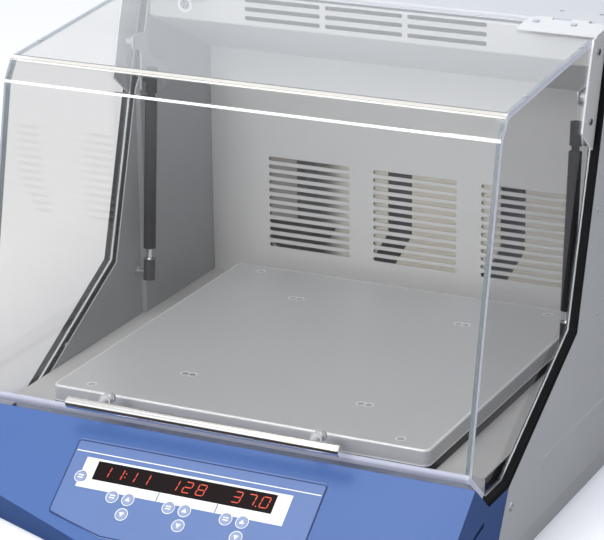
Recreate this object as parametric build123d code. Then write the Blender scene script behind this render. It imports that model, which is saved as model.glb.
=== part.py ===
from build123d import *
import math
import os

# Incubated benchtop shaker. Millimetres, +X right, +Y towards the back, +Z up.
# The origin is on the table, under the middle of the instrument.

# ---------------------------------------------------------------- driving dimensions
overall_width = 580.0
overall_depth = 670.0
overall_height = 516.0            # top of the rear housing
half_width = overall_width / 2
front = -overall_depth / 2

running_fit = 0.05                # radial play of pins, shafts and rods in their bores
seat_gap = 0.3                    # rest gap between two bodies that touch in use
panel_gap = 0.5                   # joint between two folded panels
sheet = 1.5                       # folded steel sheet of the housing

# mains switch, whose rocker reaches furthest back
switch_pin_depth = 3.0            # cross pin, below the back panel
switch_pin_radius = 1.5
rocker_tip_out = 6.6              # rocker's tip from its pin: outwards and up
rocker_tip_up = 9.6
rocker_half_width = 7.0
rocker_half_throw = 6.0           # degrees each side of level; it rests in one of the two
rocker_turn = math.radians(rocker_half_throw)
rocker_reach = rocker_tip_out * math.cos(rocker_turn) + rocker_tip_up * math.sin(rocker_turn)
back = overall_depth / 2 - (rocker_reach - switch_pin_depth)

# base
foot_height = 8.0
foot_radius = 16.0
foot_side_inset = 50.0
foot_front_inset = 185.0
foot_back_inset = 45.0
pan_sheet = 2.0
pan_rim_height = 22.0
pan_side_inset = 3.0
pan_nose_gap = 4.0                # behind the front cover's undercut
pan_bar_inset = 90.0              # ends of the cross bar, from the housing's sides
pan_bar_gap = 12.0                # cross bar behind the cover's joint
pan_slots = 9
pan_slot_pitch = 22.0
pan_slot_width = 8.0
pan_slot_length = 60.0
pan_slot_lead = 170.0             # in front of the drive

# sloping front cover
fascia_run = 117.2                # from the front edge back to the crest
crest_y = front + fascia_run
crest_z = 133.6
fascia_slope = 38.0
crest_rear_slope = 42.3
ledge_drop = 32.6                 # from the crest to the flat ledge under the hood's seal
ledge_z = crest_z - ledge_drop
cover_wall = 2.5
cover_bottom_z = foot_height + pan_sheet
cover_side_drop = 81.0            # down the slope from the crest to the edge, at the sides
cover_nose_half = 72.0            # half width of the straight middle of the front edge
undercut_back_side = 55.6         # how far the undercut goes back at the sides
undercut_back_middle = 22.0
cover_depth = 89.1                # from the crest back to the joint with the side wall
cover_rear_y = crest_y + cover_depth
cover_rear_lean = 0.541           # lean of that joint, forward per unit of height
grip_slot_length = 34.0
grip_slot_width = 5.0
grip_slot_back = 6.8              # behind and below the crest
grip_slot_drop = 50.1
grip_slot_tilt = 13.0

# keypad, measured on the sloping fascia: across, and down from the crest
keypad_centre_x = -6.0
keypad_half_width = 144.0
keypad_top = 22.5
keypad_side_bottom = 110.0
keypad_bottom = 131.0
keypad_bottom_half = 75.0
keypad_corner = 4.0
foil_thickness = 0.8
display_left = -117.5
display_right = 90.5
display_top = 45.4
display_bottom = 67.5
display_gap = 0.2
key_radius = 6.0
key_gap = 0.3
key_proud = 0.5
key_travel = 0.4
key_flange = 1.5
key_flange_thickness = 0.8
key_group_pitch = 65.9
key_pair_pitch = 18.6
first_key_x = -86.5
first_key_row = 82.5
second_key_row = 100.0
mode_key_x = -130.8
mode_key_row = 66.3
board_depth = 9.0                 # circuit board below the cover's inner face
board_thickness = 1.6
board_inset = 10.0                # its sides, from the foil's
board_post_radius = 3.0
key_switch_size = 6.0

# side walls and seal
wall_depth = 15.5                 # how deep the folded tray of each side wall is
wall_inner = half_width - wall_depth
knee_back = 190.7                 # corner of the wall's front edge, from the cover's joint
knee_rise = 102.0
knee_y = cover_rear_y + knee_back
knee_z = ledge_z + knee_rise
upper_edge_angle = 73.5
seal_thickness = 6.0
wall_bottom_z = foot_height + pan_rim_height
bead_drop = 7.0                   # below the ledge
bead_z = ledge_z - bead_drop
bead_lead = 98.7                  # its ends, from the cover's joint and from the back
bead_end_inset = 40.4
bead_start_y = cover_rear_y + bead_lead
bead_end_y = back - bead_end_inset
bead_width = 3.2                  # half width at its foot
bead_proud = 1.6
bead_hook = 9.0                   # short turn-down at the bead's front end
bead_hook_angle = -113.0
bead_taper = 25.0

# chamber
liner_front_half = wall_inner - sheet    # inner face in front of the joggle
joggle_step = 3.5
joggle_length = 5.0
joggle_back = 56.0                # behind the knee
liner_back_half = liner_front_half - joggle_step
joggle_y = knee_y + joggle_back
floor_drop = 11.0                 # floor below the crest, and its front edge behind it
floor_lead = 54.8
floor_z = crest_z - floor_drop
floor_front_y = crest_y + floor_lead
duct_depth = 37.4                 # between the chamber's back wall and the back panel
back_wall_y = back - duct_depth
duct_knee_drop = 114.0            # where the back wall turns forward, below the top
duct_knee_z = overall_height - duct_knee_drop
duct_panel_back = 87.0            # upper panel, behind the knee of the side walls
duct_panel_y = knee_y + duct_panel_back
duct_panel_drop = 44.5
duct_panel_bottom_z = overall_height - duct_panel_drop
duct_ledge_drop = 9.0
duct_ledge_z = overall_height - duct_ledge_drop
duct_side_gap = 0.2

# openings in the duct wall
slot_rows = 12
slot_pitch = 9.87
slot_height = 5.2
slot_top_rise = 151.4             # top row, above the floor
slot_top_z = floor_z + slot_top_rise
slot_length = 107.5
slot_spacing = 138.4
upper_slot_rows = 3
upper_slot_pitch = 10.5
upper_slot_drop = 14.8            # top row, below the top
upper_slot_top_z = overall_height - upper_slot_drop
upper_slot_height = 5.0
upper_slot_length = 94.0
upper_slot_spacing = 100.0
vent_inset = 46.5
vent_drop = 27.0
vent_x = -(liner_back_half - vent_inset)
vent_z = overall_height - vent_drop
vent_radius = 7.5
vent_lip = 1.5
vent_hole_radius = 1.1
vent_hole_circle = 3.6

# hood
hood_inset = 8.0                  # its sides, from the housing's
hood_half = half_width - hood_inset
hood_sheet = 6.0
hood_top_lap = 3.0                # top sheet's rear edge, behind the upper panel
hood_top_step = 0.5               # and below the housing's top
hood_top_rear_y = duct_panel_y + hood_top_lap
hood_top_rear_z = overall_height - hood_top_step
hood_upper_bend = (crest_y + 89.5, overall_height - 22.5)
hood_lower_bend = (crest_y + 73.7, overall_height - 45.1)
hood_front_foot = (crest_y + 1.3, crest_z + 6.4)
hood_bend_radius = 5.0
hood_rest_gap = 0.5

# hinge
pivot_back = 11.0                 # behind the upper panel
pivot_drop = 2.0                  # below the top
pivot_y = duct_panel_y + pivot_back
pivot_z = overall_height - pivot_drop
pin_radius = 2.0
bracket_sheet = 2.5
knuckle_length = 20.0
knuckle_inset = 6.0
bracket_width = 88.0
bracket_reach = 44.0              # in front of the pivot
bracket_inner_x = hood_half - bracket_width
bracket_front_y = pivot_y - bracket_reach
lip_back = 5.0
housing_lip_y = pivot_y + lip_back
knuckle_radius = pin_radius + running_fit + bracket_sheet
flange_drop = 122.0               # foot of the bracket's side flange, below the pivot
flange_step = 8.0                 # its top corner, in front of the bracket's plate
flange_corners = ((-65.0, -40.4), (-80.6, -96.0))    # its front edge, from the pivot
hood_screw_radius = 3.6
hood_screw_height = 1.6
side_screws = ((-39.0, -17.0), (-59.0, -88.0))       # from the pivot
bracket_screws = (12.0, 55.0)     # from the bracket's inner end
bracket_screw_lead = 18.0
edge_screw_radius = 2.4
edge_screw_height = 0.8
edge_screw_lead = 76.0            # along the top's edges: from the pivot and from the upper bend
edge_screw_back = 54.3

# inner plates of the gas springs, and the gas springs
plate_gap = 11.5                  # between the plate and the hood's side
spring_plate_sheet = 2.5
spring_plate_x = hood_half - hood_sheet - plate_gap
ball_to_plate = 8.5
spring_x = spring_plate_x - ball_to_plate
lower_ball = (knee_y + 45.0, knee_z - 24.0)
upper_ball = (duct_panel_y - 23.0, overall_height - 108.0)
ball_radius = 5.0
neck_radius = 2.8
stud_collar = 3.0                 # length of the stud's thicker root
stud_root_radius = 5.5
socket_radius = 6.8
socket_below = 8.5                # how far a socket reaches past its ball, and along its stem
socket_above = 17.0
cylinder_radius = 7.2
cylinder_wall = 1.5
cylinder_start = 29.5             # along the spring from the lower ball
cylinder_end = 24.0               # before the upper ball
cylinder_cap = 6.0
rod_radius = 3.0
rod_insertion = 120.5             # rod inside the tube when the hood is closed
plate_corners = (                 # back and up from the upper ball
    (-26.0, 34.0),
    (-26.0, 50.0),
    (4.0, 50.0),
    (10.0, 22.0),
    (52.0, -4.0),
    (52.0, -22.0),
    (24.0, -26.0),
    (-8.0, -14.0),
    (-8.0, 28.0),
    (-14.0, 34.0),
)
plate_corner_radius = 4.0
plate_boss = (43.0, -14.0)
plate_boss_radius = 7.0
plate_spacers = ((-18.0, 42.0), (-5.0, 42.0))
spacer_radius = 5.0

# handle
handle_centre_x = -8.0
handle_length = 316.0
handle_radius = 6.0
handle_lead = 15.7                # in front of the crest
handle_rise = 23.4                # above the crest
handle_y = crest_y - handle_lead
handle_z = crest_z + handle_rise
handle_post_spacing = 246.0
handle_post_radius = 4.0
handle_collar = 2.5               # wider than the post
collar_height = 1.8
nut_height = 3.6                  # dome nut of each post, inside the hood

# platform and its drive
platform_side_gap = 52.5          # tray's edges, from the side skins, the back wall and the crest
platform_back_gap = 27.33
platform_lead = 45.5
platform_half = liner_front_half - platform_side_gap
platform_front = crest_y + platform_lead
platform_depth = back_wall_y - platform_back_gap - platform_front
platform_rise = 23.4
platform_top = floor_z + platform_rise
platform_rim = 18.0
platform_sheet = 3.0
platform_corner = 8.0
platform_bend = 1.5
screw_radius = 2.6
screw_head_radius = 4.4
screw_head_height = 1.8
screw_sink = 0.1                  # heads below the tray's face
screw_side_inset = 38.5
screw_end_inset = 18.0
inner_screw_x = 105.0
inner_screw_y = 132.0
inner_screw_pair = 9.0
orbit_radius = 10.0
carriage_gap = 1.2
carriage_thickness = 4.2
carriage_inset = 1.0              # its edge, inside the tray's rim
carriage_window = (120.0, 60.0)
carriage_window_x = 100.0
carriage_window_y = 70.0
boss_radius = 14.0
post_radius = 6.0
pin_length = 14.0
eccentric_pin_radius = 6.0
crank_disc_radius = 18.5
crank_disc_depth = 8.5            # of the disc, below the floor's sheet
crank_shaft_radius = 8.0
crank_side = 150.0                # places of the idlers, from the drive
crank_front = 120.0
crank_back = 150.0
bearing_radius = 26.0
bearing_height = 36.0
bearing_flange = 10.0
bearing_flange_thickness = 4.0
counterweight_radius = 84.0
counterweight_thickness = 10.0
counterweight_hub = 18.0
drive_pulley_radius = 55.0
drive_pulley_hole = 9.0
drive_pulley_hole_circle = 32.0
motor_pulley_radius = 18.0
pulley_width = 14.0
pulley_flange = 2.0
pulley_flange_thickness = 1.5
motor_x = -165.0
motor_radius = 40.0
motor_height = 42.0
motor_band = 6.0                  # height and reach of the band round it
motor_gap = 4.0                   # above its pulley
motor_post_spread = 31.0
motor_shaft_radius = 5.0
belt_thickness = 3.0
belt_gap = 0.4
belt_edge_gap = 0.7               # between the belt and the pulleys' flanges

# baffle between the slots and the fan; windows across and up from each slot group's top middle
baffle_sheet = 1.0
baffle_gap = 2.5                  # behind the back wall
baffle_half = 214.0
baffle_foot = 22.0                # above the floor
baffle_head = 20.0                # above the slots
baffle_flange = 3.0
air_window = ((-36.0, 12.0), (-5.0, 12.0), (-5.0, -74.0), (-33.0, -124.0), (-64.0, -124.0), (-36.0, -74.0))
fan_window = (
    (-18.0, 12.0),
    (6.0, 12.0),
    (14.0, -73.0),
    (36.0, -73.0),
    (9.0, -124.0),
    (-66.0, -124.0),
    (-66.0, -73.0),
    (-18.0, -73.0),
)

# circulation fan and heater, behind the back wall
fan_x = -slot_spacing              # behind the left group of slots
fan_z = 215.0
fan_radius = 60.0
fan_depth = 14.0
fan_gap = 6.0
fan_blades = 7
fan_blade_chord = 20.0
fan_blade_thickness = 2.0
fan_blade_pitch = 32.0            # degrees
fan_hub_radius = 16.0
fan_motor_radius = 30.0
fan_shaft_radius = 3.0
heater_radius = 78.0
heater_tube = 4.0
heater_opening = 20.0             # degrees each side of its straight ends

# rear panel
top_hole_inset = (76.3, 31.0)
top_hole_back = 37.0
top_hole_radius = 3.0
louvre_rows = 9
louvre_pitch = 14.0
louvre_bottom_z = 292.0
louvre_spacing = 180.0
louvre_length = 90.0
louvre_height = 4.0

# rear connections
connector_z = 72.0
inlet_x = -200.0
inlet_half = (13.5, 10.0)         # half width and half height of the body
inlet_depth = 22.0
inlet_wall = 1.7
inlet_pins = ((-7.0, -2.0), (0.0, 2.0), (7.0, -2.0))
inlet_pin_half = (1.0, 2.2)
inlet_flange = 8.5
switch_x = -140.0
switch_half = (9.0, 13.0)
switch_depth = 18.0
switch_wall = 1.5
connector_flange = 2.0
supply_x = -195.0                 # middle of the mains transformer
supply_back_inset = 55.4
supply_size = (80.0, 70.0, 68.0)
supply_limb = 12.0
supply_window = 16.0
winding_inset = 5.0

platform_centre_y = platform_front + platform_depth / 2
drive_y = platform_centre_y + orbit_radius
crank_places = {
    "drive_crank": (0.0, drive_y),
    "idler_crank_front_left": (-crank_side, drive_y - crank_front),
    "idler_crank_front_right": (crank_side, drive_y - crank_front),
    "idler_crank_rear": (0.0, drive_y + crank_back),
}


# ---------------------------------------------------------------- helpers
def block(x0, x1, y0, y1, z0, z1):
    """A box between six coordinates."""
    centre = Pos((x0 + x1) / 2, (y0 + y1) / 2, (z0 + z1) / 2)
    return centre * Box(x1 - x0, y1 - y0, z1 - z0)


def side_prism(points, x0, x1):
    """A prism across the instrument from an outline of (y, z) points."""
    outline = make_face(Polyline(*points, close=True))
    return extrude(Plane.YZ.offset(x0) * outline, x1 - x0)


def plan_prism(points, z0, z1):
    """An upright prism from an outline of (x, y) points."""
    outline = make_face(Polyline(*points, close=True))
    return extrude(Plane.XY.offset(z0) * outline, z1 - z0)


def rod_x(radius, x0, x1, y, z):
    """A round bar along X."""
    return Pos((x0 + x1) / 2, y, z) * Rot(0, 90, 0) * Cylinder(radius, x1 - x0)


def rod_y(radius, x, y0, y1, z):
    """A round bar along Y."""
    return Pos(x, (y0 + y1) / 2, z) * Rot(90, 0, 0) * Cylinder(radius, y1 - y0)


def rod_z(radius, x, y, z0, z1):
    """A round bar along Z."""
    return Pos(x, y, (z0 + z1) / 2) * Cylinder(radius, z1 - z0)


def parallel(points, distance):
    """The chain of points moved to its left by a distance, with mitred corners."""
    moved = []
    for i, (u, v) in enumerate(points):
        ahead = points[min(i + 1, len(points) - 1)]
        behind = points[max(i - 1, 0)]
        turns = []
        for (u0, v0), (u1, v1) in ((behind, (u, v)), ((u, v), ahead)):
            length = math.hypot(u1 - u0, v1 - v0)
            if length > 0:
                turns.append((-(v1 - v0) / length, (u1 - u0) / length))
        nu = sum(n[0] for n in turns) / len(turns)
        nv = sum(n[1] for n in turns) / len(turns)
        scale = distance / (nu * nu + nv * nv)
        moved.append((u + nu * scale, v + nv * scale))
    return moved


def folded_sheet(points, thickness, x0, x1, bend=0.0):
    """Sheet folded along a chain of (y, z) points, its thickness to the left and its bends rounded."""
    other = parallel(points, thickness)
    face = make_face(Polyline(*points, *reversed(other), close=True))
    if bend > 0:
        for i in range(1, len(points) - 1):
            (u0, v0), (u1, v1), (u2, v2) = points[i - 1], points[i], points[i + 1]
            left_turn = (u1 - u0) * (v2 - v1) - (v1 - v0) * (u2 - u1) > 0
            outer_first = left_turn == (thickness > 0)
            radii = (bend + abs(thickness), bend) if outer_first else (bend, bend + abs(thickness))
            for corner, radius in zip((points[i], other[i]), radii):
                vertex = face.vertices().sort_by_distance(Vector(*corner))[0]
                face = fillet(vertex, radius)
    return extrude(Plane.YZ.offset(x0) * face, x1 - x0)


def mirrored(solid):
    """The same piece on the other side."""
    return mirror(solid, about=Plane.YZ)


# ---------------------------------------------------------------- lines that several pieces share
slope = math.radians(fascia_slope)
fascia = Plane(origin=(0, crest_y, crest_z), x_dir=(1, 0, 0), z_dir=(0, -math.sin(slope), math.cos(slope)))
nose_length = (crest_y - front) / math.cos(slope)
notch_y = crest_y + (crest_z - ledge_z) / math.tan(math.radians(crest_rear_slope))
upper_lean = 1 / math.tan(math.radians(upper_edge_angle))


def fascia_point(down):
    """The (y, z) point of the fascia a distance down from the crest."""
    return (crest_y - down * math.cos(slope), crest_z - down * math.sin(slope))


def cover_joint(z):
    """Y of the joint between the front cover and the side wall, at a height."""
    return cover_rear_y - cover_rear_lean * (ledge_z - z)


def front_edge(top_z):
    """The line under the seal: along the cover's ledge, then up the wall's front edge to a height."""
    return [
        (notch_y, ledge_z),
        (cover_rear_y, ledge_z),
        (knee_y, knee_z),
        (knee_y + (top_z - knee_z) * upper_lean, top_z),
    ]


wall_top_z = overall_height - sheet - panel_gap
wall_edge = front_edge(wall_top_z)
seal_foot = front_edge(wall_top_z - 1.5 * seal_thickness)
seal_face = parallel(seal_foot, seal_thickness)
seal_face[0] = (notch_y - (seal_thickness - 0.3) / math.tan(math.radians(crest_rear_slope)), seal_face[0][1])
hood_line = [
    (hood_top_rear_y, hood_top_rear_z),
    hood_upper_bend,
    hood_lower_bend,
    hood_front_foot,
]
lip_end_z = ledge_z + seal_thickness + hood_rest_gap
lip_run = (hood_front_foot[1] - lip_end_z) / math.tan(math.radians(crest_rear_slope))
hood_line.append((hood_front_foot[0] + lip_run, lip_end_z))
hood_inside = parallel(hood_line, hood_sheet)
top_rise = (hood_top_rear_z - hood_upper_bend[1]) / (hood_top_rear_y - hood_upper_bend[0])


def hood_top(y):
    """Height of the hood's top face at a depth."""
    return hood_top_rear_z + (y - hood_top_rear_y) * top_rise


def hood_underside(y):
    """Height of the lower face of the hood's top sheet at a depth."""
    return hood_top(y) - hood_sheet * math.hypot(1, top_rise)


def on_hood_top(x, y):
    """A plane on the hood's top face, square to it."""
    return Plane(origin=(x, y, hood_top(y)), x_dir=(1, 0, 0), z_dir=(0, -top_rise, 1))


# ---------------------------------------------------------------- base and housing
def cover_outline(inset):
    """Side outline of the front cover, moved inwards by the wall; open behind and below where inset."""
    nose = fascia_point(nose_length)
    chain = [
        (cover_joint(ledge_z), ledge_z),
        (notch_y, ledge_z),
        (crest_y, crest_z),
        nose,
        (nose[0] + undercut_back_middle, cover_bottom_z),
    ]
    if inset == 0:
        return chain + [(cover_joint(cover_bottom_z), cover_bottom_z)]
    inner = parallel(chain, inset)
    reach = 2 * cover_wall
    return [(inner[0][0] + reach, inner[0][1])] + inner[1:4] + [
        (inner[4][0], cover_bottom_z - reach),
        (cover_joint(cover_bottom_z) + reach, cover_bottom_z - reach),
    ]


def cover_body(inset):
    """Front cover as a full body: the side outline across, less its two slanted front corners."""
    body = side_prism(cover_outline(inset), -half_width + inset, half_width - inset)
    side_edge = fascia_point(cover_side_drop)
    nose = fascia_point(nose_length)
    for side in (-1, 1):
        edge = Vector(side * half_width, *side_edge)
        corner = Vector(side * cover_nose_half, *nose)
        foot = edge + Vector(0, undercut_back_side, cover_bottom_z - side_edge[1])
        normal = (corner - edge).cross(foot - edge).normalized()
        if normal.Y > 0:
            normal = -normal
        cutter = Plane(origin=edge - normal * inset, z_dir=normal)
        body = split(body, bisect_by=cutter, keep=Keep.BOTTOM)
    return body


def front_cover():
    cover = cover_body(0) - cover_body(cover_wall)
    grip = Pos(0, crest_y + grip_slot_back, crest_z - grip_slot_drop) * Rot(grip_slot_tilt, 0, 0)
    cover -= grip * Box(2 * overall_width, grip_slot_length, grip_slot_width)
    cover -= display_window(display_gap)
    for x, down in key_places():
        hole = Cylinder(key_radius + key_gap, 4 * cover_wall)
        cover -= fascia * Pos(x, -down, 0) * hole
    return cover


def key_places():
    """Centres of the ten keys on the fascia."""
    places = [(mode_key_x, mode_key_row)]
    for group in range(3):
        x = first_key_x + group * key_group_pitch
        places.append((x, first_key_row))
        places.append((x + key_pair_pitch, first_key_row))
        places.append((x + key_pair_pitch - 0.3, second_key_row))
    return places


def keypad_foil():
    outline = [
        (keypad_centre_x - keypad_half_width, -keypad_top),
        (keypad_centre_x - keypad_half_width, -keypad_side_bottom),
        (keypad_centre_x - keypad_bottom_half, -keypad_bottom),
        (keypad_centre_x + keypad_bottom_half, -keypad_bottom),
        (keypad_centre_x + keypad_half_width, -keypad_side_bottom),
        (keypad_centre_x + keypad_half_width, -keypad_top),
    ]
    face = make_face(Polyline(*outline, close=True))
    face = fillet(face.vertices(), keypad_corner)
    foil = fascia * extrude(face, foil_thickness)
    foil -= display_window(display_gap)
    for x, down in key_places():
        foil -= fascia * Pos(x, -down, 0) * Cylinder(key_radius + key_gap, 4 * foil_thickness)
    return foil


def display_window(clearance=0.0):
    """Tinted window through the foil and the cover, with a flat front."""
    width = display_right - display_left + 2 * clearance
    height = display_bottom - display_top + 2 * clearance
    depth = foil_thickness + cover_wall + 2 * clearance
    middle = ((display_left + display_right) / 2, -(display_top + display_bottom) / 2)
    return fascia * Pos(*middle, foil_thickness + clearance - depth / 2) * Box(width, height, depth)


def key(x, down):
    """A round key cap with the flange that keeps it under the cover."""
    top = foil_thickness + key_proud
    bottom = -cover_wall - key_flange_thickness - key_gap
    cap = Pos(x, -down, (top + bottom) / 2) * Cylinder(key_radius, top - bottom)
    flange = Pos(x, -down, bottom + key_flange_thickness / 2) * Cylinder(
        key_radius + key_flange, key_flange_thickness)
    solid = cap + flange
    rim = solid.edges().filter_by(GeomType.CIRCLE).sort_by(Axis.Z)[-1]
    return fascia * fillet(rim, key_proud * 0.8)


def control_board():
    """Circuit board under the fascia, with a switch under each key and the display block."""
    top = -cover_wall - board_depth
    middle = Pos(keypad_centre_x, -(keypad_top + keypad_side_bottom) / 2, top - board_thickness / 2)
    width = 2 * (keypad_half_width - board_inset)
    board = middle * Box(width, keypad_side_bottom - keypad_top, board_thickness)
    key_bottom = -cover_wall - key_flange_thickness - key_gap
    switch_top = key_bottom - key_travel - 0.1
    for x, down in key_places():
        place = Pos(x, -down, (top + switch_top) / 2)
        board += place * Box(key_switch_size, key_switch_size, switch_top - top)
    module_top = -cover_wall - 2 * display_gap
    width = display_right - display_left - 3 * board_inset
    height = display_bottom - display_top - key_switch_size
    display_x, display_row = (display_left + display_right) / 2, (display_top + display_bottom) / 2
    middle = Pos(display_x, -display_row, (top + module_top) / 2)
    board += middle * Box(width, height, module_top - top)
    reach = keypad_half_width - board_inset - 2 * board_post_radius
    for x in (-reach, reach):
        place = Pos(keypad_centre_x + x, -keypad_top - 2 * board_post_radius, (top - cover_wall) / 2)
        board += place * Cylinder(board_post_radius, -top - cover_wall)
    return fascia * board


def pan_outline(inset):
    """Plan of the base pan: straight sides and back, with the front cover's slanted nose."""
    side = half_width - pan_side_inset - inset
    nose_y = fascia_point(nose_length)[0] + undercut_back_middle + pan_nose_gap
    shoulder_y = fascia_point(cover_side_drop)[0] + undercut_back_side + pan_nose_gap
    return [
        (side, back - pan_side_inset - inset),
        (side, shoulder_y + inset),
        (cover_nose_half, nose_y + inset),
        (-cover_nose_half, nose_y + inset),
        (-side, shoulder_y + inset),
        (-side, back - pan_side_inset - inset),
    ]


def base_pan():
    """Folded pan that carries everything, its rim showing below the side walls."""
    bottom = foot_height
    pan = plan_prism(pan_outline(0), bottom, wall_bottom_z)
    pan -= plan_prism(pan_outline(pan_sheet), bottom + pan_sheet, wall_bottom_z + 1)
    bar_y = cover_joint(wall_bottom_z) + pan_bar_gap
    bar_half = half_width - pan_bar_inset
    pan -= block(-half_width, half_width, front, bar_y, bottom + pan_sheet, wall_bottom_z + 1)
    pan += block(-bar_half, bar_half, bar_y, bar_y + pan_sheet, bottom, wall_bottom_z)
    for i in range(pan_slots):
        x = (i - (pan_slots - 1) / 2) * pan_slot_pitch
        pan -= Pos(x, drive_y - pan_slot_lead, bottom) * Box(pan_slot_width, pan_slot_length, 3 * pan_sheet)
    return pan


def feet():
    """Four rubber feet with a conical side."""
    solids = []
    for x in (-1, 1):
        for y in (front + foot_front_inset, back - foot_back_inset):
            place = Pos(x * (half_width - foot_side_inset), y, foot_height / 2)
            solids.append(place * Cone(0.88 * foot_radius, foot_radius, foot_height))
    return solids


def wall_outline(inset):
    """Side outline of a side wall, behind the front cover and under the seal."""
    rear = back - sheet - panel_gap
    chain = [
        (rear, wall_top_z),
        wall_edge[3],
        wall_edge[2],
        wall_edge[1],
        (cover_joint(wall_bottom_z), wall_bottom_z),
        (rear, wall_bottom_z),
    ]
    if inset == 0:
        return chain
    closed = [chain[-1]] + chain + [chain[0]]
    return parallel(closed, inset)[1:-1]


def side_wall():
    """Right side wall: a folded tray of sheet, open towards the chamber, with a pressed bead."""
    wall = side_prism(wall_outline(0), wall_inner, half_width)
    wall -= side_prism(wall_outline(sheet), wall_inner - 1, half_width - sheet)
    inside = half_width - sheet / 2
    length = bead_end_y - bead_start_y
    for start, run, angle in ((bead_start_y, length, 0.0), (bead_start_y, bead_hook, bead_hook_angle)):
        ridge = Pos(run / 2, 0) * SlotOverall(run + 2 * bead_width, 2 * bead_width)
        place = Plane(origin=(inside, start, bead_z), x_dir=(0, 1, 0), z_dir=(1, 0, 0)) * Rot(0, 0, angle)
        wall += place * extrude(ridge, sheet / 2 + bead_proud, taper=bead_taper)
    return wall


def seal():
    """Black edge seal: along the ledge and up the front edge of the right wall."""
    return side_prism(seal_foot + list(reversed(seal_face)), wall_inner, half_width)


def seal_rear():
    """Seal strip under the back of the hood's top."""
    y0 = duct_panel_y + panel_gap
    y1 = hood_top_rear_y - panel_gap
    half = bracket_inner_x - knuckle_inset
    return block(-half, half, y0, y1, duct_ledge_z, hood_underside(y0) - seat_gap)


def rear_housing():
    """Top and back in one folded sheet, with louvres and the openings for the connections."""
    chain = [
        (housing_lip_y, duct_ledge_z + 1),
        (housing_lip_y, overall_height),
        (back, overall_height),
        (back, wall_bottom_z),
    ]
    skin = folded_sheet(chain, -sheet, -half_width, half_width, bend=1.0)
    over_wall = half_width - wall_inner + panel_gap
    for x0 in (-half_width, half_width - over_wall):
        skin -= block(x0, x0 + over_wall, 0, housing_lip_y + 2 * sheet, 0, overall_height - sheet)
    for inset in top_hole_inset:
        for side in (-1, 1):
            place = (side * (half_width - inset), housing_lip_y + top_hole_back)
            skin -= rod_z(top_hole_radius, *place, overall_height - 5, overall_height + 5)
    louvres = Sketch()
    for column in (-1, 1):
        for row in range(louvre_rows):
            place = Pos(column * louvre_spacing / 2, louvre_bottom_z + row * louvre_pitch)
            louvres += place * SlotOverall(louvre_length, louvre_height)
    skin -= extrude(Plane.XZ.offset(-back - 5) * louvres, 10)
    for x, half in ((inlet_x, inlet_half), (switch_x, switch_half)):
        width, height = (2 * (size + duct_side_gap) for size in half)
        skin -= Pos(x, back, connector_z) * Box(width, 10, height)
    return skin


# ---------------------------------------------------------------- chamber
def chamber_liner():
    """Floor and both inner side skins of the chamber in one tub, joggled near the springs."""
    plan = [
        (liner_front_half, floor_front_y),
        (liner_front_half, joggle_y),
        (liner_back_half, joggle_y + joggle_length),
        (liner_back_half, back_wall_y + sheet),
    ]
    outer = parallel(plan, -sheet)
    skin = plan_prism(plan + list(reversed(outer)), ledge_z, duct_ledge_z)
    keep_line = [*wall_edge[1:], (back, wall_top_z), (back, ledge_z)]
    skin &= side_prism(keep_line, 0, half_width)
    skin -= block(0, half_width, front, floor_front_y, 0, overall_height)
    front_half, back_half, below = liner_front_half, liner_back_half, floor_z - sheet
    floor = block(-front_half, front_half, floor_front_y, joggle_y, below, floor_z)
    floor += block(-back_half, back_half, joggle_y, back_wall_y + sheet, below, floor_z)
    floor += block(-front_half, front_half, floor_front_y, floor_front_y + sheet, ledge_z, floor_z)
    tub = floor + skin + mirrored(skin)
    for x, y in crank_places.values():
        tub -= rod_z(crank_disc_radius + sheet, x, y, floor_z - 5, floor_z + 5)
    return tub


def duct_wall():
    """Folded back wall of the chamber: air slots in three groups, sloping ceiling, upper slots."""
    chain = [
        (back_wall_y, floor_z),
        (back_wall_y, duct_knee_z),
        (duct_panel_y, duct_panel_bottom_z),
        (duct_panel_y, duct_ledge_z),
        (housing_lip_y, duct_ledge_z),
    ]
    half = liner_back_half - duct_side_gap
    wall = folded_sheet(chain, -sheet, -half, half, bend=2.0)
    lower = Sketch()
    for column in (-1, 0, 1):
        for row in range(slot_rows):
            place = Pos(column * slot_spacing, slot_top_z - row * slot_pitch)
            lower += place * SlotOverall(slot_length, slot_height)
    wall -= extrude(Plane.XZ.offset(-back_wall_y - 5) * lower, 10)
    upper = Sketch()
    for column in (-1, 0, 1):
        for row in range(upper_slot_rows):
            place = Pos(column * upper_slot_spacing, upper_slot_top_z - row * upper_slot_pitch)
            upper += place * SlotOverall(upper_slot_length, upper_slot_height)
    upper += Pos(vent_x, vent_z) * Circle(vent_radius)
    wall -= extrude(Plane.XZ.offset(-duct_panel_y - 5) * upper, 10)
    return wall


def round_vent():
    """Perforated disc with a ring, clipped into the upper panel."""
    ring = Circle(vent_radius + vent_lip) - Circle(vent_radius - vent_lip)
    disc = Circle(vent_radius - duct_side_gap) - Circle(vent_hole_radius)
    for angle in range(0, 360, 60):
        disc -= Rot(0, 0, angle) * Pos(vent_hole_circle, 0) * Circle(vent_hole_radius)
    plane = Plane(origin=(vent_x, duct_panel_y, vent_z), x_dir=(1, 0, 0), z_dir=(0, -1, 0))
    return plane * (extrude(disc, 1.0) + extrude(ring, 1.0) + extrude(disc, -1.0))


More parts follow.
